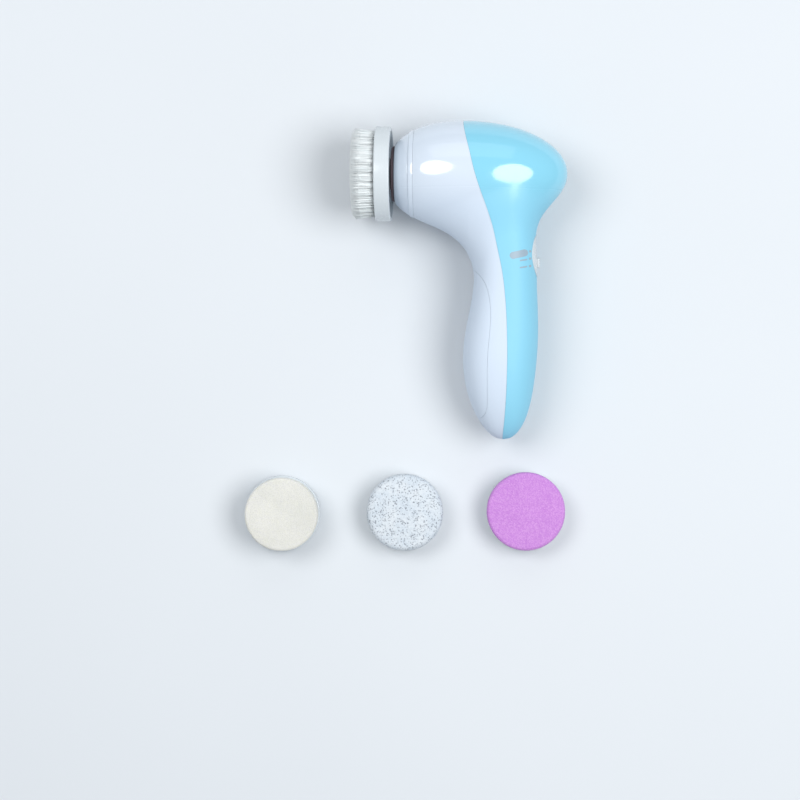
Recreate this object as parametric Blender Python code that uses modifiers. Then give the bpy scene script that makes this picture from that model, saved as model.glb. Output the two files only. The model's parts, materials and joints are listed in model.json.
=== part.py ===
"""A battery callus remover lying on a table, with its brush head fitted and three spare heads beside it.

The device is modelled in its own frame, in metres: +X from the nose to the back of the bulb, +Y up the
handle, +Z out of the device's left side, with the origin on the nose axis. The empty "device" then lays it
down on the table, where it rests on the bulb and the tail of the handle.
"""

import math

import bmesh
import bpy
from mathutils import Matrix, Vector

MM = 0.001

# ---- Driving dimensions -------------------------------------------------------------------------------
# Bulb: a turned ovoid on the nose axis, blunter in front than behind.
BULB_RADIUS = 24.5 * MM
BULB_MIDDLE = -7.4 * MM
BULB_FRONT_REACH = 36 * MM
BULB_FRONT_POWER = 2.3
BULB_REAR_REACH = 47.6 * MM
BULB_REAR_POWER = 2.0
NOSE_FACE = -39.3 * MM
NOSE_RING_REAR = -30.2 * MM

# Handle: a rounded-rectangular section that swells to the grip and closes in a long tail.
NECK_LEVEL = -45 * MM
GRIP_LEVEL = -81 * MM
TAIL_LENGTH = 41.5 * MM
NECK_DEPTH = 14.4 * MM
GRIP_DEPTH = 17.1 * MM
NECK_WIDTH = 17.9 * MM
GRIP_WIDTH = 19.2 * MM
HANDLE_POWER = 2.4
HANDLE_MIDDLE = 10.5 * MM
HANDLE_SWAY = 1.3 * MM
SWAY_HALF_WAVE = 46 * MM
HANDLE_HEAD = -24 * MM
HEAD_LENGTH = 20 * MM
FILLET_FRONT = 27 * MM
FILLET_BACK = 15 * MM
FILLET_START = -5 * MM
FILLET_CHANGE = 33 * MM
FILLET_SIDE_LOSS = 0.8
BEND_START = -10 * MM
BEND_PIVOT = Vector((-10, -36)) * MM
FARTHEST_SKIN = 90 * MM

WALL = 2.0 * MM
GAP = 0.3 * MM

# Seam between the white front shell and the blue back shell, from the crown to the tail.
SEAM = [
    (-6.9, 34.0),
    (-7.6, 24.6),
    (-6.2, 17.4),
    (-4.4, 10.7),
    (-2.2, 1.7),
    (0.6, -7.2),
    (3.4, -15.0),
    (6.2, -23.9),
    (8.4, -33.9),
    (10.7, -45.1),
    (12.0, -56.2),
    (12.7, -67.4),
    (13.0, -80.0),
    (12.9, -89.7),
    (12.5, -100.8),
    (11.7, -112.0),
    (10.6, -122.4),
    (9.9, -132.0),
]
# Edge of the battery door on the handle's side, from the neck to the tail.
DOOR_EDGE = [
    (-16.0, -43.2),
    (-3.4, -44.2),
    (1.6, -48.0),
    (4.4, -54.5),
    (5.4, -63.0),
    (5.0, -72.0),
    (4.2, -81.0),
    (3.9, -90.0),
    (3.9, -100.0),
    (3.6, -107.5),
    (1.2, -111.6),
    (-4.0, -112.8),
    (-16.0, -113.4),
]

# Brush head, on the hexagonal drive hub.
HUB_FLAT = 4.0 * MM
HUB_SPAN = (-49.4 * MM, -41.2 * MM)
BRUSH_BACK = -40.9 * MM
BRUSH_FACE = -48.0 * MM
BRUSH_RADIUS = 21.8 * MM
BRISTLE_LENGTH = 10.6 * MM
TUFT_RADIUS = 1.8 * MM
CROWN_RISE = 2.4 * MM
CARRIER_CROWN = 6.7 * MM
# Rings of tufts: the radius of each and how many stand on it.
TUFT_RINGS = {0.0: 1, 4.7 * MM: 6, 9.6 * MM: 12, 13.6 * MM: 18, 17.6 * MM: 23}

# Gear train: both stages share one centre distance, so the motor is in line with the spindle.
MODULE = 0.4 * MM
PRESSURE_ANGLE = math.radians(25)
ADDENDUM = 0.8 * MODULE
DEDENDUM = 1.15 * MODULE
BACKLASH = 0.09 * MM
MOTOR_TEETH, IDLER_WHEEL_TEETH = 10, 36
IDLER_PINION_TEETH, OUTPUT_TEETH = 12, 34
CENTRE_DISTANCE = MODULE * (MOTOR_TEETH + IDLER_WHEEL_TEETH) / 2

SPINDLE_RADIUS = 2.0 * MM
MOTOR_RADIUS = 10.2 * MM
MOTOR_FLAT = 7.8 * MM
MOTOR_SPAN = (-14.4 * MM, 9.0 * MM)

# Batteries: two AA cells side by side in the handle.
CELL_RADIUS = 7.15 * MM
CELL_LENGTH = 50.2 * MM
CELL_SPACING = 7.3 * MM
CELL_TOP = -49.0 * MM
CELL_DEPTH = 9.4 * MM
SPRING_WIRE_RADIUS = 0.35 * MM
LEAD_RADIUS = 0.6 * MM

# Switch: an oval plate let into the spine of the neck, with a thumb slide that has three positions.
SWITCH_LEVEL = -37.6 * MM
PLATE_HALF_HEIGHT = 9.9 * MM
PLATE_HALF_WIDTH = 10.6 * MM
SWITCH_STEP = 3.3 * MM
KNOB_LEVEL = SWITCH_LEVEL - SWITCH_STEP
KNOB_LENGTH = 4.6 * MM
KNOB_WIDTH = 4.4 * MM

# Spare heads: on the table below the tail, sponge, pumice and buffer from left to right.
HEAD_BASE_RADIUS = 17.6 * MM
HEAD_BASE_HEIGHT = 6.4 * MM
SOCKET_FLAT = HUB_FLAT + 0.25 * MM

# How the device lies: the lean of the nose and of the tail towards the table, and where the bulb rests.
NOSE_LEAN = math.radians(3.2)
TAIL_LEAN = math.radians(4.4)
DEVICE_PLACE = Vector((34.75, 75.1, 25.03)) * MM

AXIAL = Matrix.Rotation(math.radians(90), 4, "Y")
SIDES = 28


# ---- Materials ----------------------------------------------------------------------------------------
def material(name, colour, roughness, metallic=0.0):
    """A Principled material, made once for each name."""
    made = bpy.data.materials.get(name)
    if made:
        return made
    made = bpy.data.materials.new(name)
    made.use_nodes = True
    shader = made.node_tree.nodes["Principled BSDF"]
    shader.inputs["Base Color"].default_value = (*colour, 1.0)
    shader.inputs["Roughness"].default_value = roughness
    shader.inputs["Metallic"].default_value = metallic
    made.diffuse_color = (*colour, 1.0)
    return made


def finish_of(name):
    """The material of each kind of piece."""
    return material(
        name,
        *{
            "white_shell": ((0.86, 0.90, 0.95), 0.16),
            "aqua_shell": ((0.27, 0.74, 0.90), 0.14),
            "white_plastic": ((0.88, 0.91, 0.92), 0.32),
            "bristle": ((0.90, 0.93, 0.92), 0.5),
            "black_rubber": ((0.03, 0.025, 0.035), 0.7),
            "steel": ((0.62, 0.63, 0.65), 0.25, 1.0),
            "brass": ((0.78, 0.57, 0.25), 0.3, 1.0),
            "copper": ((0.72, 0.35, 0.2), 0.35, 1.0),
            "ferrite": ((0.07, 0.07, 0.08), 0.8),
            "gear_plastic": ((0.87, 0.85, 0.78), 0.45),
            "black_plastic": ((0.04, 0.04, 0.045), 0.45),
            "cell_jacket": ((0.10, 0.34, 0.20), 0.3),
            "red_wire": ((0.65, 0.05, 0.04), 0.45),
            "black_wire": ((0.03, 0.03, 0.035), 0.45),
            "sponge": ((0.84, 0.83, 0.77), 0.95),
            "pumice": ((0.66, 0.69, 0.74), 0.9),
            "buffer": ((0.68, 0.32, 0.80), 0.85),
        }[name],
    )


# ---- Scene and placing --------------------------------------------------------------------------------
def clear_scene():
    for obj in list(bpy.data.objects):
        bpy.data.objects.remove(obj, do_unlink=True)


def collection(name):
    made = bpy.data.collections.new(name)
    bpy.context.scene.collection.children.link(made)
    return made


def empty(name, parent=None, place=(0, 0, 0)):
    """A guide that pieces hang from. A moving piece's empty stands on its joint's axis."""
    made = bpy.data.objects.new(name, None)
    made.empty_display_size = 0.01
    PARTS.objects.link(made)
    made.parent = parent
    made.location = place
    return made


def piece(name, mesh, finish, parent, smooth=True):
    """Makes a part from a mesh in its frame's coordinates, with its origin on its parent empty."""
    mesh.name = name
    mesh.materials.clear()
    mesh.materials.append(finish_of(finish))
    mesh.transform(Matrix.Translation(-parent.location) if parent in PIVOTS else Matrix.Identity(4))
    if smooth:
        mesh.shade_smooth()
        mesh.set_sharp_from_angle(angle=math.radians(35))
    made = bpy.data.objects.new(name, mesh)
    PARTS.objects.link(made)
    made.parent = parent
    return made


# ---- Solids -------------------------------------------------------------------------------------------
def mesh_from(bm, matrix=None):
    """Closes off a bmesh: welds it, turns its faces outwards and hands back the mesh."""
    bmesh.ops.remove_doubles(bm, verts=bm.verts, dist=1e-6)
    bmesh.ops.recalc_face_normals(bm, faces=bm.faces)
    if matrix:
        bm.transform(matrix)
    mesh = bpy.data.meshes.new("solid")
    bm.to_mesh(mesh)
    bm.free()
    return mesh


def evaluated(obj):
    """The mesh of a helper object with its modifiers, after which the helper is removed."""
    bpy.context.view_layer.update()
    graph = bpy.context.evaluated_depsgraph_get()
    mesh = bpy.data.meshes.new_from_object(obj.evaluated_get(graph))
    mesh.transform(obj.matrix_world)
    bpy.data.objects.remove(obj, do_unlink=True)
    bm = bmesh.new()
    bm.from_mesh(mesh)
    bpy.data.meshes.remove(mesh)
    return mesh_from(bm)


def turned(profile, sides=SIDES, centre=(0, 0), closed=True):
    """A solid turned about the line through centre along X, from (x, radius) points in metres."""
    mesh = bpy.data.meshes.new("profile")
    count = len(profile)
    edges = [(i, (i + 1) % count) for i in range(count if closed else count - 1)]
    mesh.from_pydata([(x, r, 0) for x, r in profile], edges, [])
    obj = bpy.data.objects.new("profile", mesh)
    TOOLS.objects.link(obj)
    screw = obj.modifiers.new("turn", "SCREW")
    screw.axis = "X"
    screw.steps = sides
    screw.render_steps = sides
    screw.use_merge_vertices = True
    screw.merge_threshold = 1e-6
    obj.location = (0, centre[0], centre[1])
    return evaluated(obj)


def rod(start, end, radius, sides=24, centre=(0, 0), inner=0.0):
    """A round bar along X, or a tube where inner is given."""
    if inner:
        return turned([(start, inner), (start, radius), (end, radius), (end, inner)], sides, centre)
    return turned([(start, 0), (start, radius), (end, radius), (end, 0)], sides, centre, closed=False)


def plate(outlines, bottom, top, matrix=None):
    """A flat plate of XY outlines between two Z levels. A second outline inside the first is a hole."""
    curve = bpy.data.curves.new("outline", "CURVE")
    curve.dimensions = "2D"
    curve.fill_mode = "BOTH"
    curve.extrude = (top - bottom) / 2
    for points in outlines:
        spline = curve.splines.new("POLY")
        spline.points.add(len(points) - 1)
        for point, (x, y) in zip(spline.points, points):
            point.co = (x, y, 0, 1)
        spline.use_cyclic_u = True
    obj = bpy.data.objects.new("outline", curve)
    TOOLS.objects.link(obj)
    obj.matrix_world = (matrix or Matrix.Identity(4)) @ Matrix.Translation((0, 0, (top + bottom) / 2))
    return evaluated(obj)


def box(low, high, bevel=0.0):
    """A box between two corners, in metres, with rounded edges where bevel is given."""
    bm = bmesh.new()
    bmesh.ops.create_cube(bm, size=1.0)
    low, high = Vector(low), Vector(high)
    bm.transform(Matrix.Translation((low + high) / 2) @ Matrix.Diagonal((*(high - low), 1)))
    if bevel:
        bmesh.ops.bevel(bm, geom=bm.edges, offset=bevel, segments=2, affect="EDGES", profile=0.5)
    return mesh_from(bm)


def wire_through(points, radius, resolution=1, per_span=4):
    """A round wire on a smooth line through points."""
    curve = bpy.data.curves.new("wire", "CURVE")
    curve.dimensions = "3D"
    curve.bevel_depth = radius
    curve.bevel_resolution = resolution
    curve.use_fill_caps = True
    path = smooth_path([Vector(p) for p in points], per_span)
    spline = curve.splines.new("POLY")
    spline.points.add(len(path) - 1)
    for point, place in zip(spline.points, path):
        point.co = (*place, 1)
    obj = bpy.data.objects.new("wire", curve)
    TOOLS.objects.link(obj)
    return evaluated(obj)


def boolean(mesh, operation, *others):
    """The mesh joined with, cut by or limited to the others."""
    for other in others:
        body = bpy.data.objects.new("body", mesh)
        tool = bpy.data.objects.new("tool", other)
        TOOLS.objects.link(body)
        TOOLS.objects.link(tool)
        modifier = body.modifiers.new("cut", "BOOLEAN")
        modifier.operation = operation
        modifier.object = tool
        mesh = evaluated(body)
        bpy.data.objects.remove(tool, do_unlink=True)
    return mesh


def cut(mesh, *others):
    return boolean(mesh, "DIFFERENCE", *others)


def join(mesh, *others):
    return boolean(mesh, "UNION", *others)


def common(mesh, *others):
    return boolean(mesh, "INTERSECT", *others)


# ---- Outlines -----------------------------------------------------------------------------------------
def smooth_path(points, per_span=4):
    """A Catmull-Rom line through points, which are vectors of any length."""
    ends = [points[0] * 2 - points[1], *points, points[-1] * 2 - points[-2]]
    path = []
    for a, b, c, d in zip(ends, ends[1:], ends[2:], ends[3:]):
        for step in range(per_span):
            t = step / per_span
            bend, twist = 2 * a - 5 * b + 4 * c - d, 3 * b - a - 3 * c + d
            path.append(0.5 * (2 * b + (c - a) * t + bend * t**2 + twist * t**3))
    return [*path, points[-1]]


def shifted(path, distance):
    """A flat path moved sideways, to the right of its direction."""
    moved = []
    for i, point in enumerate(path):
        along = (path[min(i + 1, len(path) - 1)] - path[max(i - 1, 0)]).normalized()
        moved.append(point + Vector((along.y, -along.x)) * distance)
    return moved


def flat(points):
    return [Vector(p) * MM for p in points]


def ellipse(half_width, half_height, sides=SIDES, centre=(0, 0)):
    return [
        (
            centre[0] + half_width * math.cos(2 * math.pi * i / sides),
            centre[1] + half_height * math.sin(2 * math.pi * i / sides),
        )
        for i in range(sides)
    ]


def hexagon(flat_distance):
    """A hexagon outline with the given distance from its centre to each flat side."""
    corner = flat_distance / math.cos(math.pi / 6)
    return [(corner * math.cos(math.pi * i / 3), corner * math.sin(math.pi * i / 3)) for i in range(6)]


def tooth_half_angle(radius, pitch_radius):
    """Half the angle that an involute tooth covers at a radius."""
    base = pitch_radius * math.cos(PRESSURE_ANGLE)
    here = math.acos(min(1.0, base / radius))
    involute = math.tan(PRESSURE_ANGLE) - PRESSURE_ANGLE - (math.tan(here) - here)
    return (math.pi * MODULE / 2 - BACKLASH) / (2 * pitch_radius) + involute


def gear_outline(teeth, phase, flank_points=2):
    """An involute spur gear with a tooth centred at phase, in radians from +Y."""
    pitch_radius = MODULE * teeth / 2
    tip, root = pitch_radius + ADDENDUM, pitch_radius - DEDENDUM
    start = max(root, pitch_radius * math.cos(PRESSURE_ANGLE))
    radii = [start + (tip - start) * i / (flank_points - 1) for i in range(flank_points)]
    flank = [(root, tooth_half_angle(start, pitch_radius))] if start > root else []
    flank += [(r, tooth_half_angle(r, pitch_radius)) for r in radii]
    outline = []
    for tooth in range(teeth):
        middle = math.pi / 2 + phase + 2 * math.pi * tooth / teeth
        polar = [(r, middle - a) for r, a in flank] + [(r, middle + a) for r, a in reversed(flank)]
        outline += [(r * math.cos(a), r * math.sin(a)) for r, a in polar]
    return outline


# ---- The body's skin ----------------------------------------------------------------------------------
def bulb_gap(x, y, z):
    """Distance outside the bulb, negative inside."""
    forward = x < BULB_MIDDLE
    reach = BULB_FRONT_REACH if forward else BULB_REAR_REACH
    power = BULB_FRONT_POWER if forward else BULB_REAR_POWER
    along, across = abs(x - BULB_MIDDLE), math.hypot(y, z)
    share = ((along / reach) ** power + (across / BULB_RADIUS) ** power) ** (1 / power)
    return math.hypot(along, across) * (1 - 1 / max(share, 1e-6))


def handle_centre(y):
    return HANDLE_MIDDLE + HANDLE_SWAY * math.cos(math.pi * (y + SWAY_HALF_WAVE) / SWAY_HALF_WAVE)


def handle_size(y):
    """Half the depth and half the width of the handle above the grip's widest level."""
    share = min(max((NECK_LEVEL - y) / (NECK_LEVEL - GRIP_LEVEL), 0), 1)
    swell = (1 - math.cos(math.pi * share)) / 2
    return NECK_DEPTH + (GRIP_DEPTH - NECK_DEPTH) * swell, NECK_WIDTH + (GRIP_WIDTH - NECK_WIDTH) * swell


def handle_gap(x, y, z):
    """Distance outside the handle, negative inside."""
    depth, width = handle_size(y)
    power = HANDLE_POWER
    share = ((abs(x - handle_centre(y)) / depth) ** power + (abs(z) / width) ** power) ** (1 / power)
    if y < GRIP_LEVEL:
        share = math.hypot(share, (y - GRIP_LEVEL) / TAIL_LENGTH)
    if y > HANDLE_HEAD:
        share = math.hypot(share, (y - HANDLE_HEAD) / HEAD_LENGTH)
    return (share - 1) * depth


def body_gap(x, y, z):
    """Distance outside the bulb and handle together, with a fillet that is widest in front."""
    bulb, handle = bulb_gap(x, y, z), handle_gap(x, y, z)
    share = min(max((x - FILLET_START) / FILLET_CHANGE, 0), 1)
    fillet = FILLET_FRONT + (FILLET_BACK - FILLET_FRONT) * share
    fillet *= 1 - FILLET_SIDE_LOSS * min((z / BULB_RADIUS) ** 2, 1)
    nearness = max(fillet - abs(bulb - handle), 0) / fillet
    return min(bulb, handle) - nearness**2 * fillet / 4


def ring_frames(nose, nose_rings, bend_rings, grip_rings):
    """(centre, outward direction) of each section: upright on the nose, fanned at the neck, then level."""
    pivot = BEND_PIVOT
    grip_start = Vector((handle_centre(pivot.y), pivot.y))
    tail = GRIP_LEVEL - TAIL_LENGTH
    frames = [
        (Vector((nose + (BEND_START - nose) * i / nose_rings, 0)), Vector((0, 1))) for i in range(nose_rings)
    ]
    for i in range(bend_rings):
        angle = math.pi / 2 * (1 - i / bend_rings)
        arm = Vector(((grip_start.x - pivot.x) * math.cos(angle), -pivot.y * math.sin(angle)))
        frames.append((pivot + arm, arm.normalized()))
    for i in range(grip_rings):
        share = math.sin(math.pi / 2 * i / grip_rings)
        level = pivot.y + (tail - pivot.y) * share
        frames.append((Vector((handle_centre(level), level)), Vector((1, 0))))
    return frames


def skin_point(centre, direction, inset):
    """Where a ray from the section's centre meets the skin, or the surface that lies inset below it."""
    near, far = 0.0, FARTHEST_SKIN
    for _ in range(34):
        middle = (near + far) / 2
        if body_gap(*(centre + direction * middle)) + inset < 0:
            near = middle
        else:
            far = middle
    return centre + direction * near


def body_solid(inset=0.0, nose=NOSE_RING_REAR, rings=(4, 18, 13), sides=24):
    """The whole body from the nose ring back, as a closed loft, inset below the skin."""
    bm = bmesh.new()
    loops = []
    for centre, outward in ring_frames(nose, *rings):
        if body_gap(centre.x, centre.y, 0) + inset > -0.5 * MM:
            continue
        loop = []
        for i in range(sides):
            angle = 2 * math.pi * i / sides
            direction = Vector((outward.x * math.cos(angle), outward.y * math.cos(angle), math.sin(angle)))
            loop.append(bm.verts.new(skin_point(Vector((centre.x, centre.y, 0)), direction, inset)))
        loops.append(loop)
    for one, other in zip(loops, loops[1:]):
        for i in range(sides):
            bm.faces.new((one[i], one[(i + 1) % sides], other[(i + 1) % sides], other[i]))
    bm.faces.new(loops[0])
    last = sum((v.co for v in loops[-1]), Vector()) / sides
    tip = bm.verts.new(skin_point(last, Vector((0, -1, 0)), inset))
    for i in range(sides):
        bm.faces.new((loops[-1][i], loops[-1][(i + 1) % sides], tip))
    return mesh_from(bm)


def bulb_radius(x, inset=0.0):
    """The bulb's radius at x, or the radius of the surface inset below its skin."""
    forward = x < BULB_MIDDLE
    reach = BULB_FRONT_REACH if forward else BULB_REAR_REACH
    power = BULB_FRONT_POWER if forward else BULB_REAR_POWER
    return BULB_RADIUS * (1 - (abs(x - BULB_MIDDLE) / reach) ** power) ** (1 / power) - inset


# ---- Housing ------------------------------------------------------------------------------------------
def side_region(edge, gap, far):
    """A slab through the whole width, from a shifted edge line across to the line x = far."""
    path = shifted(smooth_path(flat(edge), 3), gap)
    outline = [*path, Vector((far, path[-1].y)), Vector((far, path[0].y))]
    return plate([[tuple(p) for p in outline]], -40 * MM, 40 * MM)


def spine_at(y):
    """How far back the handle's spine lies at a level."""
    return skin_point(Vector((handle_centre(y), y, 0)), Vector((1, 0, 0)), 0.0).x


def switch_zone(grow):
    """A block behind the neck with the switch plate's oval outline."""
    turn = Matrix.Translation((0, SWITCH_LEVEL, 0)) @ AXIAL
    oval = ellipse(PLATE_HALF_WIDTH + grow, PLATE_HALF_HEIGHT + grow)
    return plate([oval], 16 * MM, 40 * MM, turn)


def screw_bosses(side):
    """The posts on one side, front or back, that the shell screws run through."""
    posts = []
    for level, across, front, middle, back in SCREW_POSTS.values():
        start, end = (front, middle - GAP / 2) if side == "front" else (middle + GAP / 2, back)
        posts.append(rod(start, end, POST_RADIUS, 14, (level, across)))
    return posts


def screw_holes():
    return [rod(-20 * MM, 20 * MM, SCREW_RADIUS + 0.15 * MM, 12, post[:2]) for post in SCREW_POSTS.values()]


SCREW_RADIUS = 1.1 * MM
POST_RADIUS = 2.2 * MM
# Each post's level, distance from the middle plane, and its front end, parting and back end.
SCREW_POSTS = {
    "shell_screw_left": (-46.0 * MM, 9.0 * MM, 4.2 * MM, 10.6 * MM, 18.4 * MM),
    "shell_screw_right": (-46.0 * MM, -9.0 * MM, 4.2 * MM, 10.6 * MM, 18.4 * MM),
    "shell_screw_lower": (-109.5 * MM, 0.0, 4.6 * MM, 11.9 * MM, 19.0 * MM),
}


def housing(device, door_pivot):
    """The nose ring, the two shells with their screw posts, the battery door and the switch plate."""
    shell = cut(body_solid(), cavity(WALL))
    front = common(shell.copy(), side_region(SEAM, GAP / 2, -80 * MM))
    back = common(shell.copy(), side_region(SEAM, -GAP / 2, 80 * MM))
    door = common(front.copy(), side_region(DOOR_EDGE, GAP / 2, -60 * MM))
    front = cut(front, side_region(DOOR_EDGE, -GAP / 2, -60 * MM))
    plate_blank = common(back.copy(), switch_zone(-GAP / 2))
    back = cut(back, switch_zone(GAP / 2))
    front = join(front, *front_ribs())
    back = join(back, *back_ribs())
    piece("front_shell", front, "white_shell", device)
    piece("back_shell", back, "aqua_shell", device)
    piece("battery_door", door, "white_shell", door_pivot)
    knob_slot = box(
        (15 * MM, KNOB_LEVEL - KNOB_LENGTH / 2 - GAP, -KNOB_WIDTH / 2 - GAP),
        (40 * MM, KNOB_LEVEL + KNOB_LENGTH / 2 + 2 * SWITCH_STEP + GAP, KNOB_WIDTH / 2 + GAP),
    )
    piece("switch_plate", cut(plate_blank, knob_slot), "white_plastic", device)
    nose_ring(device)


def cavity(inset):
    """The space inside the shells, inset below the skin."""
    return body_solid(inset, NOSE_RING_REAR - 3 * MM, (4, 13, 10), 18)


def front_ribs():
    """The bridges that carry the screw posts across the front shell."""
    upper, lower = SCREW_POSTS["shell_screw_left"][0], SCREW_POSTS["shell_screw_lower"][0]
    bridge = box((5.6 * MM, upper - 0.8 * MM, -30 * MM), (8.2 * MM, upper + 1.0 * MM, 30 * MM))
    tail_web = box((5.2 * MM, lower - 0.8 * MM, -30 * MM), (7.6 * MM, lower + 0.8 * MM, 30 * MM))
    posts = screw_bosses("front")
    ribs = [join(common(bridge, cavity(WALL - 0.5 * MM)), *posts[:2])]
    ribs.append(join(common(tail_web, cavity(WALL - 0.5 * MM)), posts[2]))
    return [cut(rib, *screw_holes()) for rib in ribs]


def back_ribs():
    """The back shell's screw posts: the upper two stand on webs from its side walls, the lower one alone."""
    ribs = []
    for post, (level, across, _, _, back) in zip(screw_bosses("back"), SCREW_POSTS.values()):
        if across:
            low, high = sorted((across, math.copysign(30 * MM, across)))
            web = box((back - 4.4 * MM, level - 0.7 * MM, low), (back - 0.3 * MM, level + 0.9 * MM, high))
            post = join(post, web)
        ribs.append(cut(common(post, cavity(WALL - 0.5 * MM)), *screw_holes()))
    return ribs


def nose_ring(device):
    """The cap that closes the nose round the spindle, with the black seal on its face."""
    rear, wall = NOSE_RING_REAR - GAP, 2.2 * MM
    steps = 4
    outer = [
        (NOSE_FACE + (rear - NOSE_FACE) * i / steps, bulb_radius(NOSE_FACE + (rear - NOSE_FACE) * i / steps))
        for i in range(steps + 1)
    ]
    inner = [
        (rear, bulb_radius(rear, wall)),
        (NOSE_FACE + 3.6 * MM, 13.2 * MM),
        (NOSE_FACE + 2.2 * MM, 10.0 * MM),
    ]
    bore = [(NOSE_FACE + 2.2 * MM, 4.2 * MM), (NOSE_FACE, 4.2 * MM)]
    piece("nose_ring", turned([*outer, *inner, *bore], 32), "white_shell", device)
    seal = rod(NOSE_FACE - 1.3 * MM, NOSE_FACE - 0.1 * MM, 12.7 * MM, SIDES, inner=4.4 * MM)
    piece("nose_seal", seal, "black_rubber", device)


# ---- Drive --------------------------------------------------------------------------------------------
CASE_FRONT, CASE_REAR = -29.4 * MM, -16.2 * MM
CASE_RADIUS = 18.2 * MM
OUTPUT_GEAR_SPAN = (-26.6 * MM, -23.4 * MM)
IDLER_WHEEL_SPAN = (-21.6 * MM, -18.6 * MM)
MOTOR_PINION_SPAN = (-22.2 * MM, -17.9 * MM)
IDLER_PIN_RADIUS = 0.9 * MM
MOTOR_SHAFT_RADIUS = 1.0 * MM
RUNNING_CLEARANCE = 0.05 * MM
MOTOR_SCREW_DROP = 4.2 * MM
MOTOR_SCREW_OFFSET = 4.32 * MM
SCREW_HOLE = 0.95 * MM


def gear(outlines, span, centre=(0, 0)):
    turn = Matrix.Translation((0, centre[0], centre[1])) @ AXIAL
    return plate(outlines, *span, turn)


def drive(device, spindle_pivot, idler_pivot, rotor_pivot):
    """The spindle with its hub and gear, the idler, the gear case and its bushes."""
    up = CENTRE_DISTANCE
    bore = SPINDLE_RADIUS + RUNNING_CLEARANCE
    piece("spindle", rod(-49.0 * MM, -22.8 * MM, SPINDLE_RADIUS), "steel", spindle_pivot)
    hub = plate([hexagon(HUB_FLAT), ellipse(bore, bore, 24)], *HUB_SPAN, AXIAL)
    collar = rod(HUB_SPAN[1] - 0.2 * MM, HUB_SPAN[1] + 1.0 * MM, 3.9 * MM, 24, inner=bore)
    piece("drive_hub", join(hub, collar), "black_plastic", spindle_pivot, smooth=False)
    output = [gear_outline(OUTPUT_TEETH, 0), ellipse(bore, bore, 24)]
    piece("output_gear", gear(output, OUTPUT_GEAR_SPAN), "gear_plastic", spindle_pivot, smooth=False)
    bush = rod(-39.0 * MM, CASE_FRONT - 0.2 * MM, 3.7 * MM, inner=bore)
    piece("spindle_bush", bush, "brass", device)

    pin_bore = IDLER_PIN_RADIUS + RUNNING_CLEARANCE
    wheel = gear([gear_outline(IDLER_WHEEL_TEETH, math.pi / IDLER_WHEEL_TEETH)], IDLER_WHEEL_SPAN, (up, 0))
    pinion = gear(
        [gear_outline(IDLER_PINION_TEETH, math.pi / IDLER_PINION_TEETH)],
        (OUTPUT_GEAR_SPAN[0], IDLER_WHEEL_SPAN[0] + 0.5 * MM),
        (up, 0),
    )
    hole = rod(-40 * MM, 0, pin_bore, 16, (up, 0))
    piece("idler_gear", cut(join(wheel, pinion), hole), "gear_plastic", idler_pivot, smooth=False)
    piece("idler_pin", rod(-28.6 * MM, -15.2 * MM, IDLER_PIN_RADIUS, 16, (up, 0)), "steel", device)

    case_and_cover(device)
    shaft_bore = MOTOR_SHAFT_RADIUS + RUNNING_CLEARANCE
    teeth = gear_outline(MOTOR_TEETH, 0)
    motor_pinion = gear([teeth, ellipse(shaft_bore, shaft_bore, 16)], MOTOR_PINION_SPAN)
    piece("motor_pinion", motor_pinion, "brass", rotor_pivot, smooth=False)


def case_and_cover(device):
    """A cup round the gears and the cover behind them that the motor is screwed to."""
    wall = 1.3 * MM
    pin_bore = IDLER_PIN_RADIUS + RUNNING_CLEARANCE
    cup = turned(
        [
            (CASE_FRONT, SPINDLE_RADIUS + 0.15 * MM),
            (CASE_FRONT, 15.6 * MM),
            (CASE_FRONT + 2.5 * MM, CASE_RADIUS),
            (CASE_REAR, CASE_RADIUS),
            (CASE_REAR, CASE_RADIUS - wall),
            (CASE_FRONT + 2.9 * MM, CASE_RADIUS - wall),
            (CASE_FRONT + 1.8 * MM, 15.6 * MM),
            (CASE_FRONT + 1.8 * MM, SPINDLE_RADIUS + 0.15 * MM),
        ],
        24,
    )
    pin_hole = rod(CASE_FRONT + 0.6 * MM, CASE_REAR, pin_bore, 16, (CENTRE_DISTANCE, 0))
    piece("gear_case", cut(cup, pin_hole), "gear_plastic", device)
    cover_span = (CASE_REAR + GAP, CASE_REAR + GAP + 1.4 * MM)
    holes = [ellipse(3.2 * MM, 3.2 * MM, 24), ellipse(pin_bore, pin_bore, 12, (0, CENTRE_DISTANCE))]
    holes += [ellipse(SCREW_HOLE, SCREW_HOLE, 12, (-z, y)) for y, z in motor_screw_places()]
    cover = plate([ellipse(CASE_RADIUS, CASE_RADIUS), *holes], *cover_span, AXIAL)
    piece("gear_cover", cover, "gear_plastic", device)
    for name, (y, z) in zip(("motor_screw_left", "motor_screw_right"), motor_screw_places()):
        head = cover_span[0] - 0.2 * MM
        shape = turned(
            [
                (head - 1.0 * MM, 0),
                (head - 1.0 * MM, 1.0 * MM),
                (head, 1.6 * MM),
                (head, 0.8 * MM),
                (head + 3.4 * MM, 0.8 * MM),
                (head + 3.4 * MM, 0),
            ],
            12,
            (y, z),
            closed=False,
        )
        piece(name, shape, "steel", device)


def motor_screw_places():
    """The motor's two threaded holes, level across its face and clear of the gears."""
    return [(-MOTOR_SCREW_DROP, MOTOR_SCREW_OFFSET), (-MOTOR_SCREW_DROP, -MOTOR_SCREW_OFFSET)]


def motor_outline(inset=0.0):
    """A small can motor's section: a circle with two flat sides."""
    radius, flat_at = MOTOR_RADIUS - inset, MOTOR_FLAT - inset
    corner = math.acos(flat_at / radius)
    arc = [-math.pi / 2 + corner + (math.pi - 2 * corner) * i / 10 for i in range(11)]
    right = [(radius * math.cos(a), radius * math.sin(a)) for a in arc]
    return right + [(-x, -y) for x, y in right]


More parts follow.
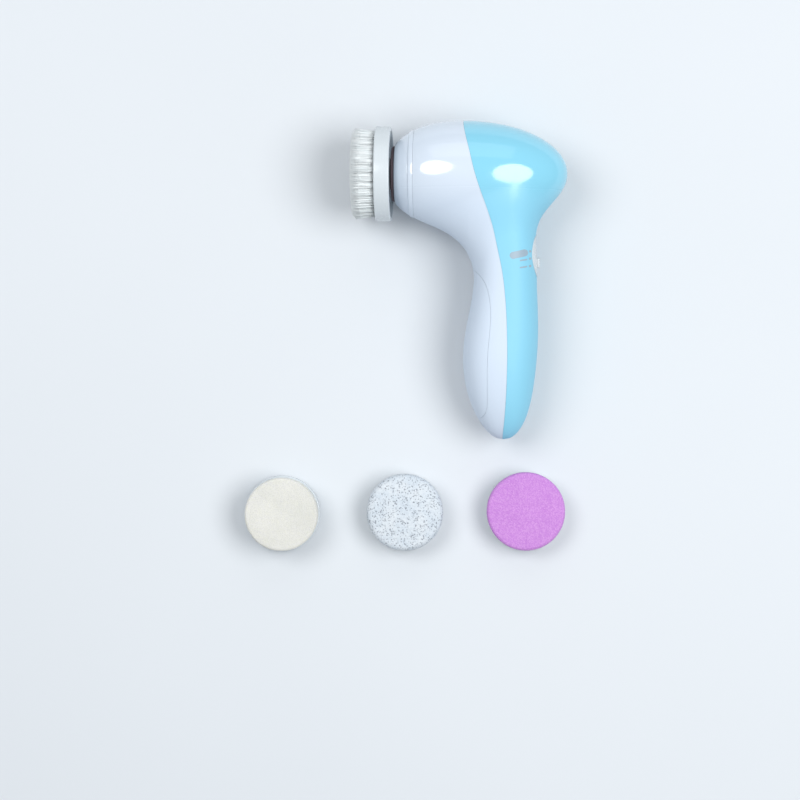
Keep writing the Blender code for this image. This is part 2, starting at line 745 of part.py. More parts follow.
def motor(device, rotor_pivot):
    """The can with its magnets, armature, shaft, commutator and end cap with two terminals."""
    start, end = MOTOR_SPAN
    wall = 0.8 * MM
    can = plate([motor_outline()], start, end, AXIAL)
    can = cut(can, plate([motor_outline(wall)], start + wall, end + 5 * MM, AXIAL))
    can = cut(can, rod(start - 2 * MM, start + 2 * MM, 1.6 * MM, 16))
    for y, z in motor_screw_places():
        can = cut(can, rod(start - 2 * MM, start + 2 * MM, SCREW_HOLE, 12, (y, z)))
    piece("motor_can", can, "steel", device)
    for name, side in (("motor_magnet_left", 1), ("motor_magnet_right", -1)):
        arc = rod(start + 4.2 * MM, end - 4 * MM, 9.1 * MM, 32, inner=7.3 * MM)
        low, high = sorted((side * 3.4 * MM, side * 20 * MM))
        half = box((-30 * MM, -5.0 * MM, low), (30 * MM, 5.0 * MM, high))
        flat_cut = plate([motor_outline(wall + 0.2 * MM)], start - 5 * MM, end + 5 * MM, AXIAL)
        piece(name, common(common(arc, half), flat_cut), "ferrite", device)
    bore = MOTOR_SHAFT_RADIUS + RUNNING_CLEARANCE
    core = plate([armature_outline(), ellipse(bore, bore, 16)], start + 5 * MM, end - 5.5 * MM, AXIAL)
    piece("motor_armature", core, "copper", rotor_pivot, smooth=False)
    commutator = rod(end - 4.6 * MM, end - 1.2 * MM, 2.4 * MM, 18, inner=bore)
    piece("motor_commutator", commutator, "brass", rotor_pivot)
    shaft = rod(MOTOR_PINION_SPAN[0], end + 2.6 * MM, MOTOR_SHAFT_RADIUS, 16)
    piece("motor_shaft", shaft, "steel", rotor_pivot)
    cap = plate([motor_outline()], end + GAP / 2, end + 2.0 * MM, AXIAL)
    boss = rod(end + 1.8 * MM, end + 4.2 * MM, 2.8 * MM, 20)
    plug = plate([motor_outline(wall + 0.2 * MM)], end - 0.6 * MM, end + 0.4 * MM, AXIAL)
    hollow = rod(end - 3 * MM, end + 3.2 * MM, 1.35 * MM, 16)
    piece("motor_end_cap", cut(join(cap, boss, plug), hollow), "black_plastic", device)
    for name, side in (("motor_terminal_left", 1), ("motor_terminal_right", -1)):
        low, high = sorted((side * 4.2 * MM, side * 6.6 * MM))
        tab = box((end + 2.3 * MM, 2.0 * MM, low), (end + 5.6 * MM, 2.6 * MM, high))
        piece(name, tab, "copper", device, smooth=False)


def armature_outline(radius=6.5 * MM, waist=3.4 * MM):
    """A three-pole armature: three broad heads with windings between them."""
    outline = []
    for pole in range(3):
        middle = 2 * math.pi * pole / 3
        for i in range(7):
            angle = middle + math.radians(-48 + 16 * i)
            outline.append((radius * math.cos(angle), radius * math.sin(angle)))
        angle = middle + math.radians(60)
        outline.append((waist * math.cos(angle), waist * math.sin(angle)))
    return outline


# ---- Brush head ---------------------------------------------------------------------------------------
def hex_socket(start, end):
    """A hexagonal hole for the hub, with a running fit."""
    return plate([hexagon(SOCKET_FLAT)], start, end, AXIAL)


def brush_head(pivot):
    """The base with its hexagonal socket, and the field of tufts set in it."""
    back, face = BRUSH_BACK, BRUSH_FACE
    rim = 2.8 * MM
    profile = [
        (back, 0),
        (back, BRUSH_RADIUS - 0.5 * MM),
        (back - 0.5 * MM, BRUSH_RADIUS),
        (face + 2.2 * MM, BRUSH_RADIUS),
        (face + 0.6 * MM, BRUSH_RADIUS - 0.5 * MM),
        (face, BRUSH_RADIUS - 1.3 * MM),
        (face, BRUSH_RADIUS - 2.0 * MM),
        (face + 0.9 * MM, BRUSH_RADIUS - 2.2 * MM),
        (face + 0.9 * MM, 0),
    ]
    base = turned(profile, 36, closed=False)
    hollow = rod(back - 4.2 * MM, back + 2 * MM, BRUSH_RADIUS - rim, SIDES)
    boss = rod(back - 4.6 * MM, back - 0.4 * MM, 7.2 * MM, 24)
    base = cut(base, cut(hollow, boss), hex_socket(HUB_SPAN[0] - 20 * MM, back + 3 * MM))
    crown = rod(face - CROWN_RISE + 0.2 * MM, face + 1.4 * MM, 6.4 * MM, 24)
    inside = hex_socket(HUB_SPAN[0] - GAP - 0.2 * MM, back + 6 * MM)
    base = join(base, cut(crown, inside))
    piece("brush_base", base, "white_plastic", pivot)
    piece("brush_tufts", join(tuft_carrier(face), tufts(face)), "bristle", pivot, smooth=False)


def tuft_carrier(face):
    """The thin cap that the tufts stand on, which steps over the base's crown."""
    outer, inner, thick = BRUSH_RADIUS - 2.6 * MM, CARRIER_CROWN, 0.8 * MM
    low, high = face + 0.6 * MM, face - CROWN_RISE - 0.1 * MM
    profile = [
        (high - thick, 0),
        (high - thick, inner + thick),
        (low - thick, inner + thick),
        (low - thick, outer),
        (low, outer),
        (low, inner),
        (high, inner),
        (high, 0),
    ]
    return turned(profile, 30, closed=False)


def tufts(face):
    """The tufts as bundles in rings, shorter towards the rim."""
    bm = bmesh.new()
    for radius, count in TUFT_RINGS.items():
        for i in range(count):
            angle = 2 * math.pi * i / count
            y, z = radius * math.cos(angle), radius * math.sin(angle)
            tip = face - BRISTLE_LENGTH * (1 - 0.12 * (radius / BRUSH_RADIUS) ** 6)
            root = face - (CROWN_RISE + 0.4 * MM if radius < CARRIER_CROWN else 0)
            place = Matrix.Translation(((tip + root) / 2, y, z)) @ AXIAL
            bmesh.ops.create_cone(
                bm,
                cap_ends=True,
                segments=5,
                radius1=TUFT_RADIUS,
                radius2=TUFT_RADIUS,
                depth=root - tip,
                matrix=place,
            )
    return mesh_from(bm)


# ---- Power --------------------------------------------------------------------------------------------
def cell(side):
    """An AA cell along the handle, with its nub at the end that side chooses."""
    bottom, top = CELL_TOP - CELL_LENGTH, CELL_TOP
    nub, nub_radius = 1.1 * MM, 2.7 * MM
    profile = [
        (bottom, 0),
        (bottom, CELL_RADIUS - 0.5 * MM),
        (bottom + 0.5 * MM, CELL_RADIUS),
        (top - nub - 0.5 * MM, CELL_RADIUS),
        (top - nub, CELL_RADIUS - 0.6 * MM),
        (top - nub, nub_radius),
        (top, nub_radius),
        (top, 0),
    ]
    if side < 0:
        profile = [(bottom + top - x, r) for x, r in reversed(profile)]
    shape = turned(profile, 28, closed=False)
    place = Matrix.Translation((CELL_DEPTH, 0, side * CELL_SPACING))
    shape.transform(place @ Matrix.Rotation(math.pi / 2, 4, "Z"))
    return shape


def coil_points(radius, narrow, length, turns=3, per_turn=8):
    """A battery spring: a coil about Y that narrows upwards."""
    points = []
    for i in range(turns * per_turn + 1):
        share = i / (turns * per_turn)
        angle = 2 * math.pi * i / per_turn
        here = radius + (narrow - radius) * share
        points.append((here * math.cos(angle), length * share, here * math.sin(angle)))
    return points


def power(device):
    """Cells, their tray, the contacts and the wiring."""
    bottom = CELL_TOP - CELL_LENGTH
    back, top, foot = CELL_DEPTH + CELL_RADIUS + 0.4 * MM, CELL_TOP + 0.9 * MM, bottom - 6.4 * MM
    tray = join(
        box((back, foot + 0.5 * MM, -8.6 * MM), (back + 1.4 * MM, top - 0.5 * MM, 8.6 * MM)),
        box((3.0 * MM, top, -6.2 * MM), (11.2 * MM, top + 1.2 * MM, 6.2 * MM)),
        box((10.8 * MM, top - 0.6 * MM, -3.3 * MM), (back + 0.6 * MM, top + 1.1 * MM, 3.3 * MM)),
        box((back + 0.1 * MM, top - 2.5 * MM, -3.2 * MM), (back + 1.3 * MM, top + 1.0 * MM, 3.2 * MM)),
        box((3.6 * MM, foot, -8.8 * MM), (back + 0.5 * MM, foot + 1.2 * MM, 8.8 * MM)),
    )
    piece("battery_tray", tray, "black_plastic", device, smooth=False)
    for name, side in (("battery_left", 1), ("battery_right", -1)):
        piece(name, cell(side), "cell_jacket", device)
    contact = top - 0.7 * MM
    for name, side in (("battery_contact_left", 1), ("battery_contact_right", -1)):
        low, high = sorted((side * 3.6 * MM, side * 10.2 * MM))
        tab = box((CELL_DEPTH - 5 * MM, contact, low), (CELL_DEPTH + 5 * MM, contact + 0.4 * MM, high))
        piece(name, tab, "steel", device, smooth=False)
    bridge_top = bottom - 4.5 * MM
    bridge = box(
        (CELL_DEPTH - 4.0 * MM, bridge_top - 0.4 * MM, -11.4 * MM),
        (CELL_DEPTH + 4.2 * MM, bridge_top, 11.4 * MM),
    )
    piece("battery_bridge", bridge, "steel", device, smooth=False)
    start = bridge_top + 2 * GAP
    for name, side in (("battery_spring_left", 1), ("battery_spring_right", -1)):
        turns = coil_points(4.6 * MM, 3.0 * MM, bottom - GAP - 0.4 * MM - start)
        coil = wire_through(turns, SPRING_WIRE_RADIUS, 1, 1)
        coil.transform(Matrix.Translation((CELL_DEPTH, start, side * CELL_SPACING)))
        piece(name, coil, "steel", device)
    wiring(device)


def wiring(device):
    """Leads from the cells to the switch and from the switch to the motor."""
    routes = {
        "wire_cell_to_switch": (
            "red_wire",
            [(12.4, -48.2, 5.0), (13.0, -45.4, 5.0), (14.6, -43.0, 4.9), (15.6, -41.6, 4.4)],
        ),
        "wire_switch_to_motor": (
            "red_wire",
            [
                (17.4, -32.6, 3.4),
                (17.6, -24.0, 5.0),
                (18.0, -12.0, 5.8),
                (17.2, -2.0, 5.6),
                (15.6, 2.3, 5.4),
            ],
        ),
        "wire_cell_to_motor": (
            "black_wire",
            [
                (12.4, -48.2, -5.0),
                (13.0, -43.0, -5.4),
                (14.0, -39.0, -7.4),
                (15.0, -26.0, -8.6),
                (17.6, -10.0, -6.4),
                (15.6, 2.3, -5.4),
            ],
        ),
    }
    for name, (finish, points) in routes.items():
        route = [Vector(p) * MM for p in points]
        piece(name, wire_through(route, LEAD_RADIUS), finish, device)


# ---- Switch -------------------------------------------------------------------------------------------
def switch(device, knob_pivot):
    """The thumb slide, the switch that it drives, and the resistor for the low speed."""
    spine = spine_at(KNOB_LEVEL)
    foot_top, foot_lap = spine - 3.1 * MM, 0.9 * MM
    half_length, half_width = KNOB_LENGTH / 2, KNOB_WIDTH / 2
    top = box(
        (foot_top - 0.2 * MM, KNOB_LEVEL - half_length, -half_width),
        (spine + 1.5 * MM, KNOB_LEVEL + half_length, half_width),
        0.5 * MM,
    )
    foot = box(
        (foot_top - 0.7 * MM, KNOB_LEVEL - half_length - foot_lap, -half_width - foot_lap),
        (foot_top, KNOB_LEVEL + half_length + foot_lap, half_width + foot_lap),
    )
    stem = box(
        (spine - 5.6 * MM, KNOB_LEVEL - 1.0 * MM, -1.0 * MM),
        (foot_top - 0.4 * MM, KNOB_LEVEL + 1.0 * MM, 1.0 * MM),
    )
    grooves = [
        box(
            (spine + 1.1 * MM, KNOB_LEVEL + offset - 0.25 * MM, -5 * MM),
            (spine + 3 * MM, KNOB_LEVEL + offset + 0.25 * MM, 5 * MM),
        )
        for offset in (-1.2 * MM, 0.0, 1.2 * MM)
    ]
    piece("switch_knob", cut(join(top, foot, stem), *grooves), "white_plastic", knob_pivot, smooth=False)
    back = spine - 4.4 * MM
    body = box(
        (back - 3.8 * MM, SWITCH_LEVEL - 7.0 * MM, -3.4 * MM),
        (back, SWITCH_LEVEL + 6.2 * MM, 3.4 * MM),
    )
    slot = box(
        (back - 1.8 * MM, KNOB_LEVEL - 1.4 * MM, -1.4 * MM),
        (back + 2 * MM, KNOB_LEVEL + 2 * SWITCH_STEP + 1.4 * MM, 1.4 * MM),
    )
    piece("slide_switch", cut(body, slot), "steel", device, smooth=False)
    resistor = rod(13.2 * MM, 17.0 * MM, 0.9 * MM, 12, (-29.6 * MM, 0))
    piece("speed_resistor", resistor, "gear_plastic", device)


def shell_screws(device):
    """The screws that hold the shells together, hidden under the battery door."""
    for name, (level, across, front, middle, _) in SCREW_POSTS.items():
        head = front - 0.3 * MM
        profile = [
            (head - 1.4 * MM, 0),
            (head - 1.4 * MM, 1.7 * MM),
            (head - 0.9 * MM, 2.1 * MM),
            (head, 2.1 * MM),
            (head, SCREW_RADIUS),
            (middle + 6.0 * MM, SCREW_RADIUS),
            (middle + 7.2 * MM, 0.3 * MM),
            (middle + 7.2 * MM, 0),
        ]
        piece(name, turned(profile, 12, (level, across), closed=False), "steel", device)


# ---- Spare heads --------------------------------------------------------------------------------------
def head_base(name, place, pivot):
    """The snap-on base of a spare head: a shallow cup with the hexagonal socket in its middle."""
    height, radius = HEAD_BASE_HEIGHT, HEAD_BASE_RADIUS
    cup = turned(
        [
            (0, 0),
            (0, radius - 0.6 * MM),
            (0.6 * MM, radius),
            (height - 0.4 * MM, radius),
            (height, radius - 0.4 * MM),
            (height, 0),
        ],
        SIDES,
        closed=False,
    )
    recess = cut(
        rod(-2 * MM, height - 1.6 * MM, radius - 1.8 * MM, SIDES), rod(-3 * MM, height, 7.0 * MM, 24)
    )
    stand = Matrix.Rotation(-math.pi / 2, 4, "Y")
    base = cut(cup, recess)
    base.transform(stand)
    crown = rod(height - 0.2 * MM, height + 3.6 * MM, 6.2 * MM, 24)
    crown.transform(stand)
    base = join(base, crown)
    socket = plate([hexagon(SOCKET_FLAT)], -5 * MM, height + 2.2 * MM)
    base = cut(base, socket)
    base.transform(Matrix.Translation(place))
    return piece(name, base, "white_plastic", pivot)


# The place on the table and the pad of each spare head, in millimetres.
SPARE_HEADS = {
    "sponge": {"place": (-57.15, -82.0), "radius": 16.9, "height": 11.0, "edge": 1.2, "crown": 0.4},
    "pumice": {"place": (0.15, -81.2), "radius": 17.8, "height": 7.4, "edge": 2.6, "crown": 1.0},
    "buffer": {"place": (56.55, -80.8), "radius": 18.2, "height": 6.0, "edge": 0.8, "crown": 0.3},
}
PAD_HOLE_RADIUS = 6.6 * MM
PAD_HOLE_DEPTH = 3.9 * MM


def pad_profile(size, rounds=3):
    """A pad's section: hollow over the base's crown, with a rounded edge and a slightly crowned face."""
    radius, edge, crown = size["radius"] * MM, size["edge"] * MM, size["crown"] * MM
    low = HEAD_BASE_HEIGHT + GAP
    high = low + size["height"] * MM
    profile = [
        (low + PAD_HOLE_DEPTH, 0),
        (low + PAD_HOLE_DEPTH, PAD_HOLE_RADIUS),
        (low, PAD_HOLE_RADIUS),
        (low, radius - 0.3 * MM),
        (low + 0.3 * MM, radius),
    ]
    for i in range(rounds + 1):
        angle = math.pi / 2 * i / rounds
        profile.append((high - edge + edge * math.sin(angle), radius - edge + edge * math.cos(angle)))
    return [*profile, (high + crown * 0.75, radius * 0.5), (high + crown, 0)]


def spare_head(kind, size, pivot):
    place = pivot.location
    head_base(f"{kind}_base", place, pivot)
    shape = turned(pad_profile(size), SIDES, closed=False)
    shape.transform(Matrix.Translation(place) @ Matrix.Rotation(-math.pi / 2, 4, "Y"))
    piece(f"{kind}_pad", shape, kind, pivot)


# ---- Assembly -----------------------------------------------------------------------------------------
def lying_down():
    """The turn that leans the nose and the tail down to the table."""
    return Matrix.Rotation(TAIL_LEAN, 4, "X") @ Matrix.Rotation(-NOSE_LEAN, 4, "Y")


def main():
    device = empty("device")
    device.matrix_world = Matrix.Translation(DEVICE_PLACE) @ lying_down()
    spindle_pivot = pivot("spindle_axis", device, (NOSE_FACE, 0, 0))
    idler_pivot = pivot("idler_axis", device, (OUTPUT_GEAR_SPAN[0], CENTRE_DISTANCE, 0))
    rotor_pivot = pivot("motor_axis", device, (MOTOR_SPAN[0], 0, 0))
    knob_pivot = pivot("knob_track", device, (spine_at(KNOB_LEVEL), KNOB_LEVEL, 0))
    door_pivot = pivot("door_track", device, (0, GRIP_LEVEL, 0))
    housing(device, door_pivot)
    drive(device, spindle_pivot, idler_pivot, rotor_pivot)
    motor(device, rotor_pivot)
    brush_head(spindle_pivot)
    power(device)
    switch(device, knob_pivot)
    shell_screws(device)
    for kind, size in SPARE_HEADS.items():
        stand = pivot(f"{kind}_stand", None, Vector((*size["place"], 0)) * MM)
        spare_head(kind, size, stand)


def pivot(name, parent, place):
    made = empty(name, parent, place)
    PIVOTS.append(made)
    return made


clear_scene()
PARTS = collection("callus_remover")
TOOLS = collection("tools")
PIVOTS = []
main()
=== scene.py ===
"""The looks of a battery callus remover: smooth shells, a bristle brush and three spare heads."""

import itertools
import json
import math

import bmesh
import bpy
import numpy as np
from mathutils import Matrix, Vector, kdtree, noise


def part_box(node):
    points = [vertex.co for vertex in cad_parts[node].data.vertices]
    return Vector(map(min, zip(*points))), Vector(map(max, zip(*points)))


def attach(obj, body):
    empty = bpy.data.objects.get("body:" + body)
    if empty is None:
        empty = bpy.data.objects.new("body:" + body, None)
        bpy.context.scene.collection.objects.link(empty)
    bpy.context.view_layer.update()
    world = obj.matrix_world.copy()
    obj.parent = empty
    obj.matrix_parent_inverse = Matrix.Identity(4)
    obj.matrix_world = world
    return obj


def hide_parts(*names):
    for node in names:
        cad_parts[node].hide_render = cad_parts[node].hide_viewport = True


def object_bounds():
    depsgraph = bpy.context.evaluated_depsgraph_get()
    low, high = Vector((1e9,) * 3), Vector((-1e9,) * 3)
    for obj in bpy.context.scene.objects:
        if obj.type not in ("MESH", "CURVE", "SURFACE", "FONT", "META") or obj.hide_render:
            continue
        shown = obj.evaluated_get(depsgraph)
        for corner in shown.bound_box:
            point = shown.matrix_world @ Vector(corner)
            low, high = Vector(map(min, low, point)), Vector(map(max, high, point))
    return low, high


MM = 0.001

# Sizes of the device in millimetres, in its own frame: X from nose to back, Y up the handle, Z outwards.
BULB_RADIUS, BULB_MIDDLE = 24.5, -7.4
BULB_FRONT_REACH, BULB_FRONT_POWER = 36.0, 2.3
BULB_REAR_REACH, BULB_REAR_POWER = 47.6, 2.0
NOSE_FACE, NOSE_RING_REAR, COLLAR_FRONT, COLLAR_STEP = -39.3, -30.2, -32.5, 0.42
NECK_LEVEL, GRIP_LEVEL, TAIL_LENGTH = -45.0, -81.0, 41.5
NECK_DEPTH, GRIP_DEPTH = 14.4, 17.1
NECK_WIDTH, GRIP_WIDTH = 17.9, 19.2
HANDLE_POWER, HANDLE_MIDDLE, HANDLE_SWAY, SWAY_HALF_WAVE = 2.4, 10.5, 1.3, 46.0
HANDLE_HEAD, HEAD_LENGTH = -24.0, 20.0
FILLET_FRONT, FILLET_BACK = 27.0, 15.0
FILLET_START, FILLET_CHANGE, FILLET_SIDE_LOSS = -5.0, 33.0, 0.8
BEND_PIVOT = (-10.0, -36.0)
WALL = 2.0
# The polish of the bulb gives way to a satin grip between these distances below its axis, in metres.
SATIN_FROM, GLOSS_TO = 0.018, 0.002
SEAM_GAP, DOOR_GAP, PLATE_GAP = 0.07, 0.08, 0.12

SEAM = [
    (-6.9, 34.0), (-7.6, 24.6), (-6.2, 17.4), (-4.4, 10.7), (-2.2, 1.7), (0.6, -7.2),
    (3.4, -15.0), (6.2, -23.9), (8.4, -33.9), (10.7, -45.1), (12.0, -56.2), (12.7, -67.4),
    (13.0, -80.0), (12.9, -89.7), (12.5, -100.8), (11.7, -112.0), (10.6, -122.4), (9.9, -132.0),
]
DOOR_EDGE = [
    (-16.0, -43.2), (-3.4, -44.2), (1.6, -48.0), (4.4, -54.5), (5.4, -63.0), (5.0, -72.0),
    (4.2, -81.0), (3.9, -90.0), (3.9, -100.0), (3.6, -107.5), (1.2, -111.6), (-4.0, -112.8),
    (-16.0, -113.4),
]

SWITCH_LEVEL, SWITCH_STEP = -37.6, 3.3
PLATE_HALF_HEIGHT, PLATE_HALF_WIDTH = 9.9, 10.6
KNOB_LEVEL, KNOB_LENGTH, KNOB_WIDTH = SWITCH_LEVEL - SWITCH_STEP, 4.6, 4.4
KNOB_FOOT, KNOB_GROOVES = (-4.1, -3.15), (-1.2, 0.0, 1.2)
DECAL_RINGS = 4

CELL_RADIUS, CELL_LENGTH, CELL_NUB, CELL_NUB_RADIUS = 7.15, 50.2, 1.1, 2.7
CELL_TOP, CELL_DEPTH, CELL_SPACING = -49.0, 9.4, 7.3

SOCKET_FLAT, SOCKET_BORE, HUB_TIP, CROWN_RADIUS = 4.25, 5.2, -49.4, 6.4
BRUSH_BACK, BRUSH_FACE, BRUSH_RADIUS = -40.9, -48.0, 21.8
BRISTLE_TIP, BRISTLE_REACH, BRISTLE_SHOULDER = -59.6, 20.75, 18.6
BRISTLE_CROWN, SHOULDER_DROP, BRISTLE_TAPER = 1.3, 0.36, (1.0, 1.0, 1.0, 0.85)
LOOSE_BRISTLES, LOOSE_START, LOOSE_BAND, TIP_SPREAD = 1700, 15.5, 4.0, 1.03
# Rings of tufts: the radius of each and how many stand on it.
TUFT_RINGS = {0.0: 1, 3.7: 6, 7.4: 12, 11.1: 18, 14.8: 26, 18.4: 34}
BRISTLES_PER_TUFT, BRISTLE_RADIUS = 84, 0.14
INNER_STRANDS, INNER_RADIUS, INNER_REACH, INNER_DROP = 4200, 0.34, 17.6, 1.6
TUFT_RADIUS, TUFT_SPLAY = 1.45, 2.15

HEAD_BASE_RADIUS, HEAD_BASE_HEIGHT = 17.6, 6.4
PAD_FLOOR = HEAD_BASE_HEIGHT + 0.3
PADS = {
    "sponge": {"radius": 16.9, "height": 11.0, "edge": 1.2, "crown": 0.4},
    "pumice": {"radius": 17.8, "height": 7.4, "edge": 2.6, "crown": 1.0},
    "buffer": {"radius": 18.2, "height": 6.0, "edge": 1.5, "crown": 0.3},
}
# Each pad's piece, the step between its points, its sides, its lumps' depth and scale, its smoothing angle.
PAD_SKINS = {
    "sponge": ("sponge_foam", 0.55, 200, 0.16, 0.16, 50),
    "pumice": ("pumice_stone", 0.24, 380, 0.10, 0.9, 70),
    "buffer": ("buffer_grit", 0.32, 300, 0.10, 1.9, 60),
}
PORE_DEPTH = 0.3
PORES, SMALLEST_PORE, LARGEST_PORE, PORE_SEED = 620, 0.24, 0.42, 5
SCREW_POSTS = [(-46.0, 9.0, 4.2, 10.6), (-46.0, -9.0, 4.2, 10.6), (-109.5, 0.0, 4.6, 11.9)]

AXIAL = Matrix.Rotation(math.radians(90), 4, "Y")


# ---- Nodes and materials -------------------------------------------------
def new_material(name):
    """(material, node maker, linker, shader) of a fresh Principled material."""
    made = bpy.data.materials.new(name)
    made.use_nodes = True
    tree = made.node_tree
    shader = tree.nodes["Principled BSDF"]

    def node(kind, **values):
        """A new node with its properties by their own names, and its inputs by their labels."""
        added = tree.nodes.new(kind)
        for key, value in values.items():
            if hasattr(added, key):
                setattr(added, key, value)
            else:
                added.inputs[key].default_value = value
        return added

    return made, node, tree.links.new, shader


def set_inputs(target, values):
    for name, value in values.items():
        target.inputs[name].default_value = value


def ramp(node, link, source, stops):
    """A colour ramp of (position, colour) stops on a factor socket."""
    made = node("ShaderNodeValToRGB")
    elements = made.color_ramp.elements
    while len(elements) < len(stops):
        elements.new(0.5)
    for element, (place, colour) in zip(elements, stops):
        element.position = place
        element.color = (*colour, 1.0) if len(colour) == 3 else colour
    link(source, made.inputs["Fac"])
    return made.outputs["Color"]


def grey(value):
    return (value, value, value)


def shaded(colour, share):
    return tuple(c * share for c in colour)


def tinted(node, link, first, second, share=1.0):
    """One colour multiplied by another."""
    mix = node("ShaderNodeMix", data_type="RGBA", blend_type="MULTIPLY", Factor=share)
    link(first, mix.inputs["A"])
    link(second, mix.inputs["B"])
    return mix.outputs["Result"]


def mapped_noise(node, link, scale, detail=3.0, roughness=0.5, stretch=(1, 1, 1)):
    """A noise pattern in the object's own coordinates, in cycles per metre."""
    place = node("ShaderNodeTexCoord")
    mapping = node("ShaderNodeMapping", Scale=stretch)
    link(place.outputs["Object"], mapping.inputs["Vector"])
    made = node("ShaderNodeTexNoise", Scale=scale, Detail=detail, Roughness=roughness)
    link(mapping.outputs["Vector"], made.inputs["Vector"])
    return made.outputs["Fac"], mapping.outputs["Vector"]


def bumped(node, link, shader, height, strength, distance):
    made = node("ShaderNodeBump", Strength=strength, Distance=distance)
    link(height, made.inputs["Height"])
    link(made.outputs["Normal"], shader.inputs["Normal"])


def satin_share(node, link, start, end):
    """0 on the polished bulb and 1 on the satin grip, by the height on the table in metres."""
    place = node("ShaderNodeTexCoord")
    parts = node("ShaderNodeSeparateXYZ")
    link(place.outputs["Object"], parts.inputs["Vector"])
    share = node("ShaderNodeMapRange", interpolation_type="SMOOTHSTEP")
    link(parts.outputs["Y"], share.inputs["Value"])
    set_inputs(share, {"From Min": start, "From Max": end, "To Min": 1.0, "To Max": 0.0})
    return share.outputs["Result"]


def shell_material(name, bulb_colour, grip_colour):
    """Glossy moulding on the bulb that turns satin and a little deeper in colour down the grip."""
    made, node, link, shader = new_material(name)
    bulb_level = PLACE.translation.y
    share = satin_share(node, link, bulb_level - SATIN_FROM, bulb_level - GLOSS_TO)
    drift, _ = mapped_noise(node, link, 24.0)
    fine, _ = mapped_noise(node, link, 2600.0, 3.0, 0.6)
    tones = [(shaded(colour, 0.98), colour) for colour in (bulb_colour, grip_colour)]
    # Each input drifts between a low and a high value on the bulb, and another pair on the grip.
    for socket, top, bulb, grip in (
        ("Base Color", 0.7, *tones),
        ("Roughness", 0.75, (grey(0.10), grey(0.14)), (grey(0.60), grey(0.70))),
        ("Coat Weight", 0.75, (grey(0.5), grey(0.6)), (grey(0.0), grey(0.08))),
    ):
        mix = node("ShaderNodeMix", data_type="RGBA")
        link(share, mix.inputs["Factor"])
        for side, (low, high) in (("A", bulb), ("B", grip)):
            link(ramp(node, link, drift, [(0.3, low), (top, high)]), mix.inputs[side])
        link(mix.outputs["Result"], shader.inputs[socket])
    grain = node("ShaderNodeMath", operation="MULTIPLY")
    link(fine, grain.inputs[0])
    link(share, grain.inputs[1])
    bumped(node, link, shader, grain.outputs["Value"], 0.12, 0.00003)
    set_inputs(shader, {"Specular IOR Level": 0.75, "Coat Roughness": 0.04})
    return made


def plastic(name, colour, low, high, grain=0.12, grain_scale=900.0, coat=0.0, metallic=0.0):
    """Moulded material: slow colour drift, uneven gloss and a fine skin. low and high bound its roughness."""
    made, node, link, shader = new_material(name)
    drift, _ = mapped_noise(node, link, 28.0)
    fine, _ = mapped_noise(node, link, grain_scale, 4.0, 0.6)
    colours = ramp(node, link, drift, [(0.3, shaded(colour, 0.965)), (0.7, colour)])
    link(colours, shader.inputs["Base Color"])
    link(ramp(node, link, fine, [(0.3, grey(low)), (0.75, grey(high))]), shader.inputs["Roughness"])
    bumped(node, link, shader, fine, grain, 0.00004)
    set_inputs(shader, {"Metallic": metallic, "Coat Weight": coat, "Coat Roughness": 0.05})
    return made


def brushed(name, colour, low, high, stretch=(1, 1, 12)):
    """Drawn or turned metal: fine streaks in colour, gloss and relief."""
    made, node, link, shader = new_material(name)
    streaks, _ = mapped_noise(node, link, 420.0, 5.0, 0.6, stretch)
    patches, _ = mapped_noise(node, link, 60.0)
    link(ramp(node, link, streaks, [(0.3, shaded(colour, 0.78)), (0.7, colour)]), shader.inputs["Base Color"])
    link(ramp(node, link, patches, [(0.3, grey(low)), (0.7, grey(high))]), shader.inputs["Roughness"])
    bumped(node, link, shader, streaks, 0.15, 0.00005)
    shader.inputs["Metallic"].default_value = 1.0
    return made


def bristle_material():
    """Milky filaments with a slow drift of colour and gloss along each strand."""
    made, node, link, shader = new_material("nylon_bristle")
    strands, _ = mapped_noise(node, link, 900.0, 2.0, 0.5, (0.15, 1, 1))
    stops = [(0.25, (0.88, 0.95, 0.965)), (0.6, (0.94, 0.98, 0.985))]
    link(ramp(node, link, strands, stops), shader.inputs["Base Color"])
    link(ramp(node, link, strands, [(0.3, grey(0.42)), (0.7, grey(0.58))]), shader.inputs["Roughness"])
    set_inputs(shader, {"Sheen Weight": 0.3, "Sheen Roughness": 0.5})
    return made


def rubber_material():
    made, node, link, shader = new_material("seal_and_gap_shade")
    fine, _ = mapped_noise(node, link, 1400.0, 5.0, 0.7)
    # The seal's brownish purple is that of the shadow in the gap behind the brush: dark rubber with painted shade.
    stops = [(0.3, (0.055, 0.035, 0.045)), (0.75, (0.11, 0.075, 0.09))]
    link(ramp(node, link, fine, stops), shader.inputs["Base Color"])
    link(ramp(node, link, fine, [(0.3, grey(0.55)), (0.7, grey(0.85))]), shader.inputs["Roughness"])
    bumped(node, link, shader, fine, 0.3, 0.00005)
    return made


